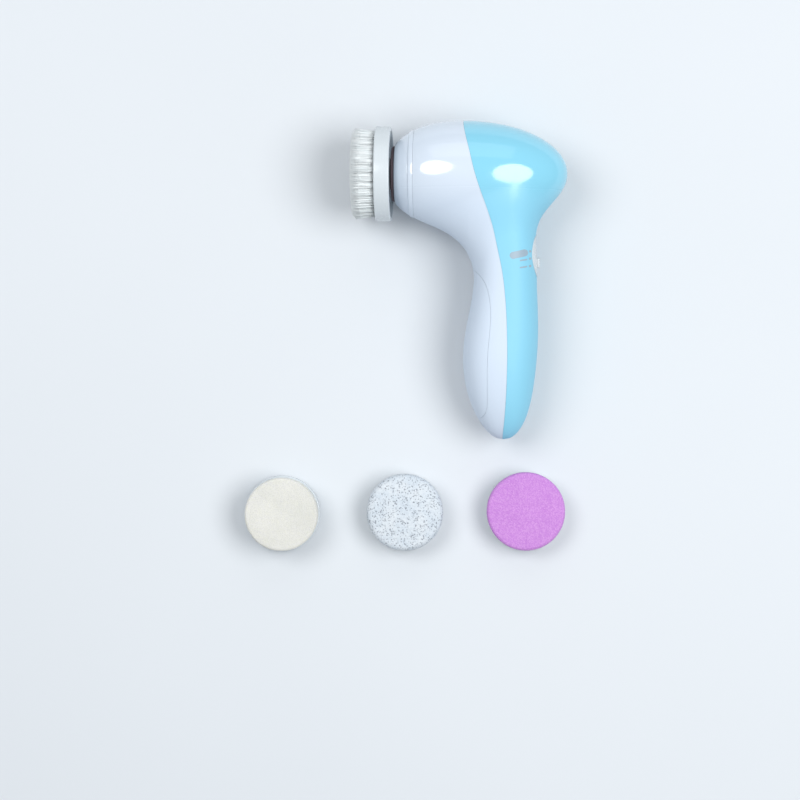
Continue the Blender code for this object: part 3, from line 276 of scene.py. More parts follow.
def sponge_material():
    """Fine open foam: small cells in relief, their sunken middles darkened with painted shade."""
    made, node, link, shader = new_material("fine_foam")
    drift, place = mapped_noise(node, link, 70.0, 4.0)
    cells = node("ShaderNodeTexVoronoi", Scale=2200.0)
    link(place, cells.inputs["Vector"])
    # Painted shade: the colour darkens towards the sunken middle of each foam cell.
    painted_cell_shade = ramp(node, link, cells.outputs["Distance"], [(0.15, grey(0.35)), (0.55, grey(1.0))])
    colours = ramp(node, link, drift, [(0.3, (0.66, 0.66, 0.61)), (0.65, (0.725, 0.72, 0.67))])
    link(tinted(node, link, colours, painted_cell_shade, 0.22), shader.inputs["Base Color"])
    link(ramp(node, link, drift, [(0.3, grey(0.85)), (0.7, grey(0.97))]), shader.inputs["Roughness"])
    bumped(node, link, shader, cells.outputs["Distance"], 0.45, 0.00018)
    set_inputs(shader, {"Sheen Weight": 0.25, "Sheen Roughness": 0.6})
    inside = {"Subsurface Weight": 0.2, "Subsurface Radius": (0.003, 0.003, 0.002), "Subsurface Scale": 0.5}
    set_inputs(shader, inside)
    return made


def pumice_material():
    """Pale grey stone, speckled between its pores, with painted shade inside them."""
    made, node, link, shader = new_material("porous_stone")
    speckle, place = mapped_noise(node, link, 1500.0, 5.0, 0.7)
    patches, _ = mapped_noise(node, link, 160.0, 4.0)
    stops = [(0.3, (0.54, 0.59, 0.64)), (0.48, (0.64, 0.69, 0.73)), (0.7, (0.72, 0.76, 0.79))]
    body = ramp(node, link, speckle, stops)
    tint = ramp(node, link, patches, [(0.35, (0.90, 0.93, 0.96)), (0.65, (1.0, 1.0, 1.0))])
    stone = tinted(node, link, body, tint)
    holes = node("ShaderNodeTexVoronoi", Scale=1350.0)
    link(place, holes.inputs["Vector"])
    sizes = node("ShaderNodeSeparateColor")
    link(holes.outputs["Color"], sizes.inputs["Color"])
    reach = node("ShaderNodeMapRange")
    link(sizes.outputs["Red"], reach.inputs["Value"])
    set_inputs(reach, {"From Min": 0.15, "To Min": 0.0, "To Max": 0.5})
    inside = node("ShaderNodeMath", operation="SUBTRACT")
    link(reach.outputs["Result"], inside.inputs[0])
    link(holes.outputs["Distance"], inside.inputs[1])
    small = ramp(node, link, inside.outputs["Value"], [(0.0, grey(0.0)), (0.12, grey(0.9))])
    pores = node("ShaderNodeAttribute", attribute_name="pore")
    both = node("ShaderNodeMath", operation="MAXIMUM")
    link(small, both.inputs[0])
    link(pores.outputs["Fac"], both.inputs[1])
    # Painted shade: the colour darkens towards a blue-grey inside the pores and the finer holes, more so the
    # deeper they are.
    shade = node("ShaderNodeMath", operation="MULTIPLY")
    link(both.outputs["Value"], shade.inputs[0])
    shade.inputs[1].default_value = 0.86
    pore_shade_mix = node("ShaderNodeMix", data_type="RGBA")
    link(shade.outputs["Value"], pore_shade_mix.inputs["Factor"])
    link(stone, pore_shade_mix.inputs["A"])
    pore_shade_mix.inputs["B"].default_value = (0.13, 0.145, 0.18, 1.0)
    link(pore_shade_mix.outputs["Result"], shader.inputs["Base Color"])
    link(ramp(node, link, speckle, [(0.3, grey(0.5)), (0.7, grey(0.8))]), shader.inputs["Roughness"])
    bumped(node, link, shader, both.outputs["Value"], -0.6, 0.0002)
    return made


def buffer_material():
    """Coarse grit bonded in violet resin: bright grains over a deeper ground."""
    made, node, link, shader = new_material("violet_grit")
    drift, place = mapped_noise(node, link, 120.0, 3.0, 0.5)
    grit = node("ShaderNodeTexVoronoi", Scale=2600.0)
    link(place, grit.inputs["Vector"])
    ground = ramp(node, link, drift, [(0.3, (0.53, 0.22, 0.63)), (0.7, (0.58, 0.25, 0.67))])
    grains = ramp(node, link, grit.outputs["Color"], [(0.3, (0.48, 0.18, 0.60)), (0.8, (0.69, 0.38, 0.74))])
    mix = node("ShaderNodeMix", data_type="RGBA", Factor=0.5)
    link(ground, mix.inputs["A"])
    link(grains, mix.inputs["B"])
    link(mix.outputs["Result"], shader.inputs["Base Color"])
    gloss = ramp(node, link, grit.outputs["Distance"], [(0.1, grey(0.5)), (0.6, grey(0.85))])
    link(gloss, shader.inputs["Roughness"])
    bumped(node, link, shader, grit.outputs["Distance"], 0.7, 0.00022)
    return made


def floor_material():
    made, node, link, shader = new_material("pale_floor")
    drift, _ = mapped_noise(node, link, 3.0)
    stops = [(0.3, (0.66, 0.695, 0.725)), (0.7, (0.68, 0.715, 0.745))]
    link(ramp(node, link, drift, stops), shader.inputs["Base Color"])
    shader.inputs["Roughness"].default_value = 0.75
    return made


def slot_materials():
    """A finished material for each of the record's slots."""
    return {
        # The shell is white plastic; its blue tint stands in for blue surroundings reflected in it: painted
        # reflection.
        "white_shell": shell_material("white_shell_skin", (0.645, 0.725, 0.82), (0.60, 0.69, 0.80)),
        "aqua_shell": shell_material("aqua_shell_skin", (0.24, 0.62, 0.79), (0.24, 0.60, 0.78)),
        "white_plastic": plastic("white_satin", (0.63, 0.685, 0.715), 0.22, 0.30, 0.03, 1500.0, 0.1),
        "bristle": bristle_material(),
        "black_rubber": rubber_material(),
        "steel": brushed("drawn_steel", (0.60, 0.61, 0.63), 0.22, 0.36),
        "brass": brushed("turned_brass", (0.76, 0.56, 0.26), 0.2, 0.32),
        "copper": brushed("copper_winding", (0.74, 0.36, 0.20), 0.28, 0.42, (1, 14, 1)),
        "ferrite": plastic("ferrite", (0.055, 0.055, 0.06), 0.6, 0.85, 0.3, 1400.0),
        "gear_plastic": plastic("gear_acetal", (0.80, 0.78, 0.70), 0.34, 0.46, 0.12),
        "black_plastic": plastic("black_moulding", (0.03, 0.03, 0.034), 0.35, 0.5, 0.25),
        "cell_jacket": plastic("cell_sleeve", (0.05, 0.25, 0.15), 0.26, 0.36, 0.03, 700.0, 0.4, 0.3),
        "red_wire": plastic("red_insulation", (0.55, 0.03, 0.025), 0.32, 0.45, 0.15),
        "black_wire": plastic("black_insulation", (0.02, 0.02, 0.023), 0.32, 0.45, 0.15),
        "sponge": sponge_material(),
        "pumice": pumice_material(),
        "buffer": buffer_material(),
    }


# ---- Shapes --------------------------------------------------------------
def mesh_from(bm):
    bmesh.ops.remove_doubles(bm, verts=bm.verts, dist=1e-4)
    bmesh.ops.recalc_face_normals(bm, faces=bm.faces)
    mesh = bpy.data.meshes.new("shape")
    bm.to_mesh(mesh)
    bm.free()
    return mesh


def turned(profile, sides=128, closed=False):
    """A shape turned about X from (x, radius) points."""
    turns = 2 * np.pi * np.arange(sides) / sides
    x, r = np.array(profile, float).T[:, :, None]
    points = np.stack([np.repeat(x, sides, axis=1), r * np.cos(turns), r * np.sin(turns)], axis=2)
    rows = list(range(len(profile)))
    faces = []
    for a, b in zip(rows, rows[1:] + (rows[:1] if closed else [])):
        for i in range(sides):
            after = (i + 1) % sides
            faces.append((a * sides + i, a * sides + after, b * sides + after, b * sides + i))
    mesh = bpy.data.meshes.new("turned")
    mesh.from_pydata(points.reshape(-1, 3).tolist(), [], faces)
    bm = bmesh.new()
    bm.from_mesh(mesh)
    bpy.data.meshes.remove(mesh)
    return mesh_from(bm)


def rounded(points, radius, steps=4):
    """A profile with its inner corners rounded, by a radius or by a table of radii for each corner."""
    points = [Vector(p) for p in points]
    radii = radius if isinstance(radius, (list, tuple)) else [radius] * len(points)
    made = [points[0]]
    for before, corner, after, size in zip(points, points[1:], points[2:], radii[1:]):
        size = min(size, (before - corner).length * 0.48, (after - corner).length * 0.48)
        start = corner + (before - corner).normalized() * size
        end = corner + (after - corner).normalized() * size
        for i in range(steps + 1):
            t = i / steps
            made.append(start * (1 - t) ** 2 + corner * 2 * t * (1 - t) + end * t**2)
    return [tuple(p) for p in [*made, points[-1]]]


def plate(outlines, bottom, top, matrix=None):
    """A flat plate of XY outlines between two Z levels. A second outline inside the first is a hole."""
    curve = bpy.data.curves.new("outline", "CURVE")
    curve.dimensions = "2D"
    curve.fill_mode = "BOTH"
    curve.extrude = (top - bottom) / 2
    for points in outlines:
        spline = curve.splines.new("POLY")
        spline.points.add(len(points) - 1)
        for point, (x, y) in zip(spline.points, points):
            point.co = (x, y, 0, 1)
        spline.use_cyclic_u = True
    obj = bpy.data.objects.new("outline", curve)
    bpy.context.scene.collection.objects.link(obj)
    obj.matrix_world = (matrix or Matrix.Identity(4)) @ Matrix.Translation((0, 0, (top + bottom) / 2))
    return evaluated(obj)


def evaluated(obj):
    """The mesh of a helper object with its modifiers, after which the helper is removed."""
    bpy.context.view_layer.update()
    graph = bpy.context.evaluated_depsgraph_get()
    mesh = bpy.data.meshes.new_from_object(obj.evaluated_get(graph))
    mesh.transform(obj.matrix_world)
    bpy.data.objects.remove(obj, do_unlink=True)
    bm = bmesh.new()
    bm.from_mesh(mesh)
    return mesh_from(bm)


def box(low, high, bevel=0.0):
    bm = bmesh.new()
    bmesh.ops.create_cube(bm, size=1.0)
    low, high = Vector(low), Vector(high)
    bm.transform(Matrix.Translation((low + high) / 2) @ Matrix.Diagonal((*(high - low), 1)))
    if bevel:
        bmesh.ops.bevel(bm, geom=bm.edges, offset=bevel, segments=3, affect="EDGES", profile=0.5)
    return mesh_from(bm)


def boolean(mesh, operation, *others):
    """The mesh joined with, cut by or limited to the others."""
    for other in others:
        body = bpy.data.objects.new("body", mesh)
        tool = bpy.data.objects.new("tool", other)
        bpy.context.scene.collection.objects.link(body)
        bpy.context.scene.collection.objects.link(tool)
        modifier = body.modifiers.new("cut", "BOOLEAN")
        modifier.operation = operation
        modifier.object = tool
        mesh = evaluated(body)
        bpy.data.objects.remove(tool, do_unlink=True)
    return mesh


def smooth_path(points, per_span):
    """A Catmull-Rom line through flat points."""
    points = [Vector(p) for p in points]
    ends = [points[0] * 2 - points[1], *points, points[-1] * 2 - points[-2]]
    path = []
    for a, b, c, d in zip(ends, ends[1:], ends[2:], ends[3:]):
        for step in range(per_span):
            t = step / per_span
            bend, twist = 2 * a - 5 * b + 4 * c - d, 3 * b - a - 3 * c + d
            path.append(0.5 * (2 * b + (c - a) * t + bend * t**2 + twist * t**3))
    return [*path, points[-1]]


def ellipse(half_width, half_height, sides=96, centre=(0, 0)):
    turns = [2 * math.pi * i / sides for i in range(sides)]
    return [(centre[0] + half_width * math.cos(a), centre[1] + half_height * math.sin(a)) for a in turns]


def hexagon(flat_distance):
    corner = flat_distance / math.cos(math.pi / 6)
    return [(corner * math.cos(math.pi * i / 3), corner * math.sin(math.pi * i / 3)) for i in range(6)]


# ---- The body's skin -----------------------------------------------------
def bulb_radius(x, inset=0.0):
    forward = x < BULB_MIDDLE
    reach = BULB_FRONT_REACH if forward else BULB_REAR_REACH
    power = BULB_FRONT_POWER if forward else BULB_REAR_POWER
    return BULB_RADIUS * (1 - (abs(x - BULB_MIDDLE) / reach) ** power) ** (1 / power) - inset


def handle_centre(y):
    return HANDLE_MIDDLE + HANDLE_SWAY * np.cos(np.pi * (y + SWAY_HALF_WAVE) / SWAY_HALF_WAVE)


def body_gap(points):
    """Distance of each point outside the bulb and handle together, negative inside."""
    x, y, z = points[:, 0], points[:, 1], points[:, 2]
    forward = x < BULB_MIDDLE
    reach = np.where(forward, BULB_FRONT_REACH, BULB_REAR_REACH)
    power = np.where(forward, BULB_FRONT_POWER, BULB_REAR_POWER)
    along, across = np.abs(x - BULB_MIDDLE), np.hypot(y, z)
    share = ((along / reach) ** power + (across / BULB_RADIUS) ** power) ** (1 / power)
    bulb = np.hypot(along, across) * (1 - 1 / np.maximum(share, 1e-6))

    down = np.clip((NECK_LEVEL - y) / (NECK_LEVEL - GRIP_LEVEL), 0, 1)
    swell = (1 - np.cos(np.pi * down)) / 2
    depth = NECK_DEPTH + (GRIP_DEPTH - NECK_DEPTH) * swell
    width = NECK_WIDTH + (GRIP_WIDTH - NECK_WIDTH) * swell
    share = (np.abs(x - handle_centre(y)) / depth) ** HANDLE_POWER + (np.abs(z) / width) ** HANDLE_POWER
    share = share ** (1 / HANDLE_POWER)
    share = np.hypot(share, np.maximum(GRIP_LEVEL - y, 0) / TAIL_LENGTH)
    share = np.hypot(share, (np.maximum(y - HANDLE_HEAD, 0) / HEAD_LENGTH) ** 1.5)
    handle = (share - 1) * depth

    fillet = FILLET_FRONT + (FILLET_BACK - FILLET_FRONT) * np.clip((x - FILLET_START) / FILLET_CHANGE, 0, 1)
    fillet = fillet * (1 - FILLET_SIDE_LOSS * np.minimum((z / BULB_RADIUS) ** 2, 1))
    nearness = np.maximum(fillet - np.abs(bulb - handle), 0) / fillet
    return np.minimum(bulb, handle) - nearness**2 * fillet / 4


def body_normals(points, step=0.02):
    """The outward direction of the skin at each point."""
    slopes = [body_gap(points + step * axis) - body_gap(points - step * axis) for axis in np.eye(3)]
    slopes = np.stack(slopes, axis=1)
    return slopes / np.maximum(np.linalg.norm(slopes, axis=1, keepdims=True), 1e-9)


def ring_frames(nose, nose_rings, bend_rings, grip_rings):
    """(centre, outward direction) of each section: upright on the nose, fanned round the neck, then level."""
    bend_start, pivot = BEND_PIVOT[0], np.array(BEND_PIVOT)
    arm_end = handle_centre(pivot[1]) - pivot[0]
    tail = GRIP_LEVEL - TAIL_LENGTH
    frames = [((nose + (bend_start - nose) * i / nose_rings, 0.0), (0.0, 1.0)) for i in range(nose_rings)]
    for i in range(bend_rings):
        angle = math.pi / 2 * (1 - i / bend_rings)
        arm = np.array((arm_end * math.cos(angle), -pivot[1] * math.sin(angle)))
        frames.append((tuple(pivot + arm), tuple(arm / np.linalg.norm(arm))))
    for i in range(grip_rings):
        level = pivot[1] + (tail - pivot[1]) * math.sin(math.pi / 2 * i / grip_rings)
        frames.append(((float(handle_centre(level)), level), (1.0, 0.0)))
    return frames


def skin_reach(centres, directions, inset):
    """How far each ray runs before it meets the skin, or the surface inset below it."""
    near, far = np.zeros(len(centres)), np.full(len(centres), 90.0)
    for _ in range(34):
        middle = (near + far) / 2
        inside = body_gap(centres + directions * middle[:, None]) + inset < 0
        near, far = np.where(inside, middle, near), np.where(inside, far, middle)
    return near


def body_solid(inset=0.0, nose=NOSE_RING_REAR, rings=(26, 84, 76), sides=96):
    """The whole body from the nose ring back, as a closed loft, inset below the skin."""
    turns = 2 * np.pi * np.arange(sides) / sides
    loops = []
    for (x, y), (dx, dy) in ring_frames(nose, *rings):
        if body_gap(np.array([[x, y, 0.0]]))[0] + inset > -0.25:
            continue
        directions = np.stack([dx * np.cos(turns), dy * np.cos(turns), np.sin(turns)], axis=1)
        centres = np.tile((x, y, 0.0), (sides, 1))
        loops.append(centres + directions * skin_reach(centres, directions, inset)[:, None])
    last = loops[-1].mean(axis=0)[None]
    down = np.array([[0.0, -1.0, 0.0]])
    tip = last + down * skin_reach(last, down, inset)[:, None]
    bm = bmesh.new()
    rows = [[bm.verts.new(p) for p in loop] for loop in loops]
    for one, other in zip(rows, rows[1:]):
        for i in range(sides):
            bm.faces.new((one[i], one[(i + 1) % sides], other[(i + 1) % sides], other[i]))
    bm.faces.new(rows[0])
    end = bm.verts.new(tip[0])
    for i in range(sides):
        bm.faces.new((rows[-1][i], rows[-1][(i + 1) % sides], end))
    return mesh_from(bm)


def side_region(edge, gap, far):
    """A slab through the whole width, from a shifted edge line across to the line x = far."""
    path = smooth_path(edge, 10)
    moved = []
    for i, point in enumerate(path):
        along = (path[min(i + 1, len(path) - 1)] - path[max(i - 1, 0)]).normalized()
        moved.append(point + Vector((along.y, -along.x)) * gap)
    outline = [*moved, Vector((far, moved[-1].y)), Vector((far, moved[0].y))]
    return plate([[tuple(p) for p in outline]], -40, 40)


def switch_zone(grow):
    turn = Matrix.Translation((0, SWITCH_LEVEL, 0)) @ AXIAL
    return plate([ellipse(PLATE_HALF_WIDTH + grow, PLATE_HALF_HEIGHT + grow)], 16, 40, turn)


def polish(mesh, proud=0.0):
    """Gives the skin its true normals, so that the gloss runs on over every cut."""
    count = len(mesh.vertices)
    points = np.empty(count * 3)
    mesh.vertices.foreach_get("co", points)
    points = points.reshape(-1, 3)
    gaps = body_gap(points) - proud
    normals = body_normals(points)
    mesh.shade_smooth()
    custom = []
    for face in mesh.polygons:
        flat = np.array(face.normal)
        for vertex in face.vertices:
            if abs(gaps[vertex]) < 0.04 and flat @ normals[vertex] > 0.8:
                custom.append(tuple(normals[vertex]))
            elif abs(gaps[vertex] + WALL) < 0.15 and flat @ normals[vertex] < -0.7:
                custom.append(tuple(-normals[vertex]))
            else:
                custom.append(tuple(flat))
    mesh.normals_split_custom_set(custom)
    return mesh


# ---- Placing -------------------------------------------------------------
def device_place(frame):
    """The matrix from the device's own millimetres to the row frame, read from its joints."""
    joints = {j["name"]: j for j in frame["joints"]}
    along = -Vector(joints["spindle_spin"]["axis"]).normalized()
    up = Vector(joints["switch_slide"]["axis"]).normalized()
    out = along.cross(up)
    origin = Vector(joints["spindle_spin"]["pos_m"]) - along * NOSE_FACE * MM
    turn = Matrix((along, up, out)).transposed().to_4x4()
    return Matrix.Translation(origin) @ turn @ Matrix.Scale(MM, 4)


def piece(name, mesh, place, body, slot, replaces=(), finish=None, smooth=35.0):
    """A finished piece in the row frame, on its body."""
    mesh.name = name
    mesh.transform(place)
    if smooth:
        mesh.shade_smooth()
        mesh.set_sharp_from_angle(angle=math.radians(smooth))
    mesh.materials.clear()
    mesh.materials.append(finish or MATERIALS[slot])
    made = bpy.data.objects.new(name, mesh)
    bpy.context.scene.collection.objects.link(made)
    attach(made, body)
    if replaces:
        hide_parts(*replaces)
    return made


# ---- Housing -------------------------------------------------------------
def housing():
    """The two shells, the battery door, the switch plate and the nose ring with its seal."""
    inner = body_solid(WALL, NOSE_RING_REAR - 3, (12, 40, 36), 56)
    shell = boolean(body_solid(), "DIFFERENCE", inner.copy())
    front = boolean(shell.copy(), "INTERSECT", side_region(SEAM, SEAM_GAP / 2, -80))
    back = boolean(shell, "INTERSECT", side_region(SEAM, -SEAM_GAP / 2, 80))
    door = boolean(front.copy(), "INTERSECT", side_region(DOOR_EDGE, DOOR_GAP / 2, -60))
    front = boolean(front, "DIFFERENCE", side_region(DOOR_EDGE, -DOOR_GAP / 2, -60))
    back = boolean(back, "DIFFERENCE", switch_zone(PLATE_GAP / 2))
    for name, mesh, body, slot in (
        ("front_shell_skin", front, "housing", "white_shell"),
        ("back_shell_skin", back, "housing", "aqua_shell"),
        ("battery_door_skin", door, "door", "white_shell"),
    ):
        piece(name, polish(mesh), PLACE, body, slot, [name.removesuffix("_skin")], smooth=0)
    screw_posts(inner)
    nose()
    switch_plate()


def screw_posts(inner):
    """The posts and the bridges of the front shell that the shell screws run through."""
    for i, (level, across, front, middle) in enumerate(SCREW_POSTS):
        outline = [(front, 1.25), (front, 2.2), (middle, 2.2), (middle, 1.25)]
        tube = turned(rounded(outline, 0.15, 2), 40, closed=True)
        tube.transform(Matrix.Translation((0, level, across)))
        piece(f"screw_post_{i}", tube, PLACE, "housing", "white_shell")
    for name, level in (("upper_bridge", SCREW_POSTS[0][0]), ("tail_web", SCREW_POSTS[2][0])):
        web = box((5.6, level - 0.8, -30), (8.0, level + 0.9, 30))
        web = boolean(web, "INTERSECT", inner.copy())
        holes = [rod(-20, 20, 2.1, post[:2]) for post in SCREW_POSTS if post[0] == level]
        piece(name, boolean(web, "DIFFERENCE", *holes), PLACE, "housing", "white_shell")


def rod(start, end, radius, centre=(0, 0), sides=40):
    made = turned([(start, 0), (start, radius), (end, radius), (end, 0)], sides)
    made.transform(Matrix.Translation((0, centre[0], centre[1])))
    return made


def nose():
    """The cap round the spindle, parted from the shell by a fine groove, and the seal on its face, in a dark
    colour that is partly painted shade.
    """
    rear = NOSE_RING_REAR - 0.08
    levels = [NOSE_FACE + 0.5 + (rear - NOSE_FACE - 0.5) * i / 90 for i in range(91)]
    skin = [(x, bulb_radius(x) + collar_bead(x)) for x in levels]
    lip = [(rear - 0.02, bulb_radius(rear) - 0.18), (rear + 0.02, bulb_radius(rear) - 0.5)]
    edge = [(NOSE_FACE, bulb_radius(NOSE_FACE) - 0.9), (NOSE_FACE + 0.12, bulb_radius(NOSE_FACE) - 0.3)]
    inside = [(rear, bulb_radius(rear) - 2.2), (NOSE_FACE + 3.6, 13.2), (NOSE_FACE + 2.2, 10.0)]
    bore = [(NOSE_FACE + 2.2, 4.2), (NOSE_FACE, 4.2)]
    cap = turned([*edge, *skin, *lip, *inside, *bore], 160, True)
    piece("nose_ring_skin", cap, PLACE, "housing", "white_shell", ["nose_ring"])
    start, end, radius = NOSE_FACE - 1.3, NOSE_FACE - 0.1, 12.7
    ribs = []
    for i in range(4):
        r = 6.0 + i * 1.6
        ribs += [(start, r), (start + 0.25, r + 0.4), (start + 0.25, r + 0.8), (start, r + 1.2)]
    outline = [(start, 4.4), *ribs, (start, radius - 0.4), (start + 0.4, radius), (end, radius), (end, 4.4)]
    piece("nose_seal_lip", turned(outline, 128, True), PLACE, "housing", "black_rubber", ["nose_seal"])


def collar_bead(x):
    """How far the collar at the nose ring's rear stands proud: a flat band behind a step and a crease."""
    share = (x - COLLAR_FRONT) / (NOSE_RING_REAR - COLLAR_FRONT)
    crease = 0.10 * math.exp(-(((x - COLLAR_FRONT + 0.12) / 0.14) ** 2))
    if not 0 < share <= 1:
        return -crease
    edge = min(1.0, share / 0.14)
    step = COLLAR_STEP * (1 - share) * math.sin(edge * math.pi / 2)
    return step + 0.05 * math.sin(math.pi * share) - crease


def switch_plate():
    """The oval plate of the switch, a little proud of the spine, with the slot for the thumb slide."""
    proud = 0.25
    outer, inner = body_solid(-proud, -12, (6, 60, 70)), body_solid(WALL, -14, (6, 30, 36), 56)
    blank = boolean(outer, "DIFFERENCE", inner)
    blank = boolean(blank, "INTERSECT", switch_zone(-PLATE_GAP / 2))
    low, high = KNOB_LEVEL - KNOB_LENGTH / 2 - 0.3, KNOB_LEVEL + KNOB_LENGTH / 2 + 2 * SWITCH_STEP + 0.3
    slot = box((15, low, -KNOB_WIDTH / 2 - 0.3), (40, high, KNOB_WIDTH / 2 + 0.3))
    blank = boolean(blank, "DIFFERENCE", slot)
    skin = polish(blank, proud)
    piece("switch_plate_skin", skin, PLACE, "housing", "white_plastic", ["switch_plate"], smooth=0)


def marks():
    """Printed marks beside the switch: a grey pill, three dots and two short bars, with no lettering."""
    ink = plastic("grey_ink", (0.32, 0.42, 0.50), 0.35, 0.5, 0.1)
    shapes = [
        ("mark_pill", pill(18.1, -36.5, 4.2, 1.6, math.radians(12))),
        ("mark_dot_high", ellipse(0.55, 0.55, 24, (23.2, -35.3))),
        ("mark_dot_low", ellipse(0.55, 0.55, 24, (23.2, -38.6))),
        ("mark_dot_off", ellipse(0.55, 0.55, 24, (23.2, -42.0))),
        ("mark_bar_low", pill(20.2, -39.2, 1.7, 0.32, math.radians(8))),
        ("mark_bar_off", pill(20.2, -42.4, 1.7, 0.32, math.radians(8))),
    ]
    for name, outline in shapes:
        piece(name, decal(outline), PLACE, "housing", "aqua_shell", finish=ink, smooth=0)


def pill(x, y, half_length, radius, turn=0.0):
    """The outline of a bar with round ends about a centre."""
    points = []
    straight = half_length - radius
    for side in (1, -1):
        for i in range(13):
            angle = math.pi * (i / 12 - 0.5)
            points.append(Vector((straight + radius * math.cos(angle), radius * math.sin(angle))) * side)
        points += [Vector((straight * (1 - i / 5), radius)) * side for i in range(1, 10)]
    spin = Matrix.Rotation(turn, 2)
    return [tuple(spin @ p + Vector((x, y))) for p in points]


def decal(outline, lift=0.03):
    """A thin printed patch that follows the skin on the device's outer side."""
    edge = np.array(outline)
    centre = edge.mean(axis=0)
    rings = [centre + (edge - centre) * (i + 1) / DECAL_RINGS for i in range(DECAL_RINGS)]
    flat = np.vstack([centre, *rings])
    origins = np.column_stack([flat, np.zeros(len(flat))])
    out = np.tile((0.0, 0.0, 1.0), (len(flat), 1))
    reach = skin_reach(origins, out, 0.0)
    points = origins + out * reach[:, None]
    normals = body_normals(points)
    bm = bmesh.new()
    verts = [bm.verts.new(p + n * lift) for p, n in zip(points, normals)]
    count = len(outline)
    for i in range(count):
        after = (i + 1) % count
        bm.faces.new((verts[0], verts[1 + i], verts[1 + after]))
        for ring in range(DECAL_RINGS - 1):
            a, b = 1 + ring * count, 1 + (ring + 1) * count
            bm.faces.new((verts[a + i], verts[b + i], verts[b + after], verts[a + after]))
    for face in bm.faces:
        face.smooth = True
    mesh = bpy.data.meshes.new("decal")
    bmesh.ops.recalc_face_normals(bm, faces=bm.faces)
    if sum(f.normal.z for f in bm.faces) < 0:
        bmesh.ops.reverse_faces(bm, faces=bm.faces)
    bm.to_mesh(mesh)
    bm.free()
    return mesh


def knob():
    """The thumb slide, with three grooves across its crown."""
    middle = float(handle_centre(KNOB_LEVEL))
    reach = skin_reach(np.array([[middle, KNOB_LEVEL, 0.0]]), np.array([[1.0, 0, 0]]), 0)
    spine = middle + float(reach[0])
    corners = [PLACE.inverted() @ Vector(c) for c in itertools.product(*zip(*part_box("switch_knob")))]
    assert min(c.x for c in corners) < spine < max(c.x for c in corners)

    def block(low, high, half_length, half_width, bevel, level=KNOB_LEVEL):
        """A box between two heights over the spine, about a level on the handle."""
        near = (spine + low, level - half_length, -half_width)
        return box(near, (spine + high, level + half_length, half_width), bevel)

    half_length, half_width, lap = KNOB_LENGTH / 2, KNOB_WIDTH / 2, 0.9
    top = block(-3.4, 1.5, half_length, half_width, 0.55)
    foot = block(*KNOB_FOOT, half_length + lap, half_width + lap, 0.1)
    grooves = [block(1.1, 3, 0.22, 5, 0, KNOB_LEVEL + y) for y in KNOB_GROOVES]
    shape = boolean(boolean(top, "UNION", foot), "DIFFERENCE", *grooves)
    piece("switch_knob_skin", shape, PLACE, "switch_slider", "white_plastic", ["switch_knob"], smooth=30)


def cells():
    """The two cells: a plain sleeve round a steel can with its contact nub."""
    half, shoulder, mouth = CELL_LENGTH / 2, CELL_LENGTH / 2 - CELL_NUB, CELL_RADIUS - 1.7
    sleeve = [(-half, mouth), (-half, CELL_RADIUS), (shoulder, CELL_RADIUS), (shoulder, mouth)]
    can = [
        (0.3 - half, 0),
        (0.3 - half, mouth - 0.05),
        (shoulder - 0.25, mouth - 0.05),
        (shoulder - 0.25, CELL_NUB_RADIUS),
        (half, CELL_NUB_RADIUS),
        (half, 0),
    ]
    for name, side in (("battery_left", 1), ("battery_right", -1)):
        middle = Matrix.Translation((CELL_DEPTH, CELL_TOP - half, side * CELL_SPACING))
        place = PLACE @ middle @ Matrix.Rotation(side * math.pi / 2, 4, "Z")
        jacket = turned(rounded(sleeve, [0, 0.5, 0.5, 0], 5), 96, True)
        piece(f"{name}_sleeve", jacket, place, "housing", "cell_jacket", [name])
        core = turned(rounded(can, [0, 0.2, 0.2, 0.3, 0.4, 0]), 96)
        piece(f"{name}_can", core, place, "housing", "steel")


# ---- Brush ---------------------------------------------------------------
def brush():
    """The ring-shaped base with its socket, and the bristles in tufts."""
    back, face, radius = BRUSH_BACK, BRUSH_FACE, BRUSH_RADIUS
    socket_end, crown = HUB_TIP - 0.5, HUB_TIP - 1.3
    outline = rounded(
        [
            (back, radius - 1.8),
            (back, radius),
            (face, radius),
            (face, radius - 1.7),
            (face + 0.9, radius - 1.9),
            (face + 0.9, CROWN_RADIUS),
            (crown, CROWN_RADIUS),
            (crown, 0),
        ],
        [0, 0.9, 1.5, 0.5, 0.3, 0.3, 0.4, 0],
        6,
    )
    inside = rounded(
        [
            (socket_end, 0),
            (socket_end, SOCKET_BORE),
            (back - 0.4, SOCKET_BORE),
            (back - 0.4, 7.2),
            (back - 2.4, 7.2),
            (back - 1.5, radius - 2.6),
            (back, radius - 1.8),
        ],
        0.3,
        3,
    )
    ring = turned([*inside, *outline[1:]], 160)
    piece("brush_ring", ring, PLACE, "brush_head", "white_plastic", ["brush_base"])
    collar = plate(socket_outlines(), socket_end, back - 0.5, AXIAL)
    piece("brush_socket", collar, PLACE, "brush_head", "white_plastic")
    fine, inner = bristle_fields()
    piece("bristles", fine, PLACE, "brush_head", "bristle", ["brush_tufts"], smooth=180)
    piece("bristles_inner", inner, PLACE, "brush_head", "bristle", smooth=180)


def socket_outlines():
    """A ring that fills a head's bore, with the hexagonal hole for the hub."""
    return [ellipse(SOCKET_BORE + 0.1, SOCKET_BORE + 0.1, 64), hexagon(SOCKET_FLAT)]


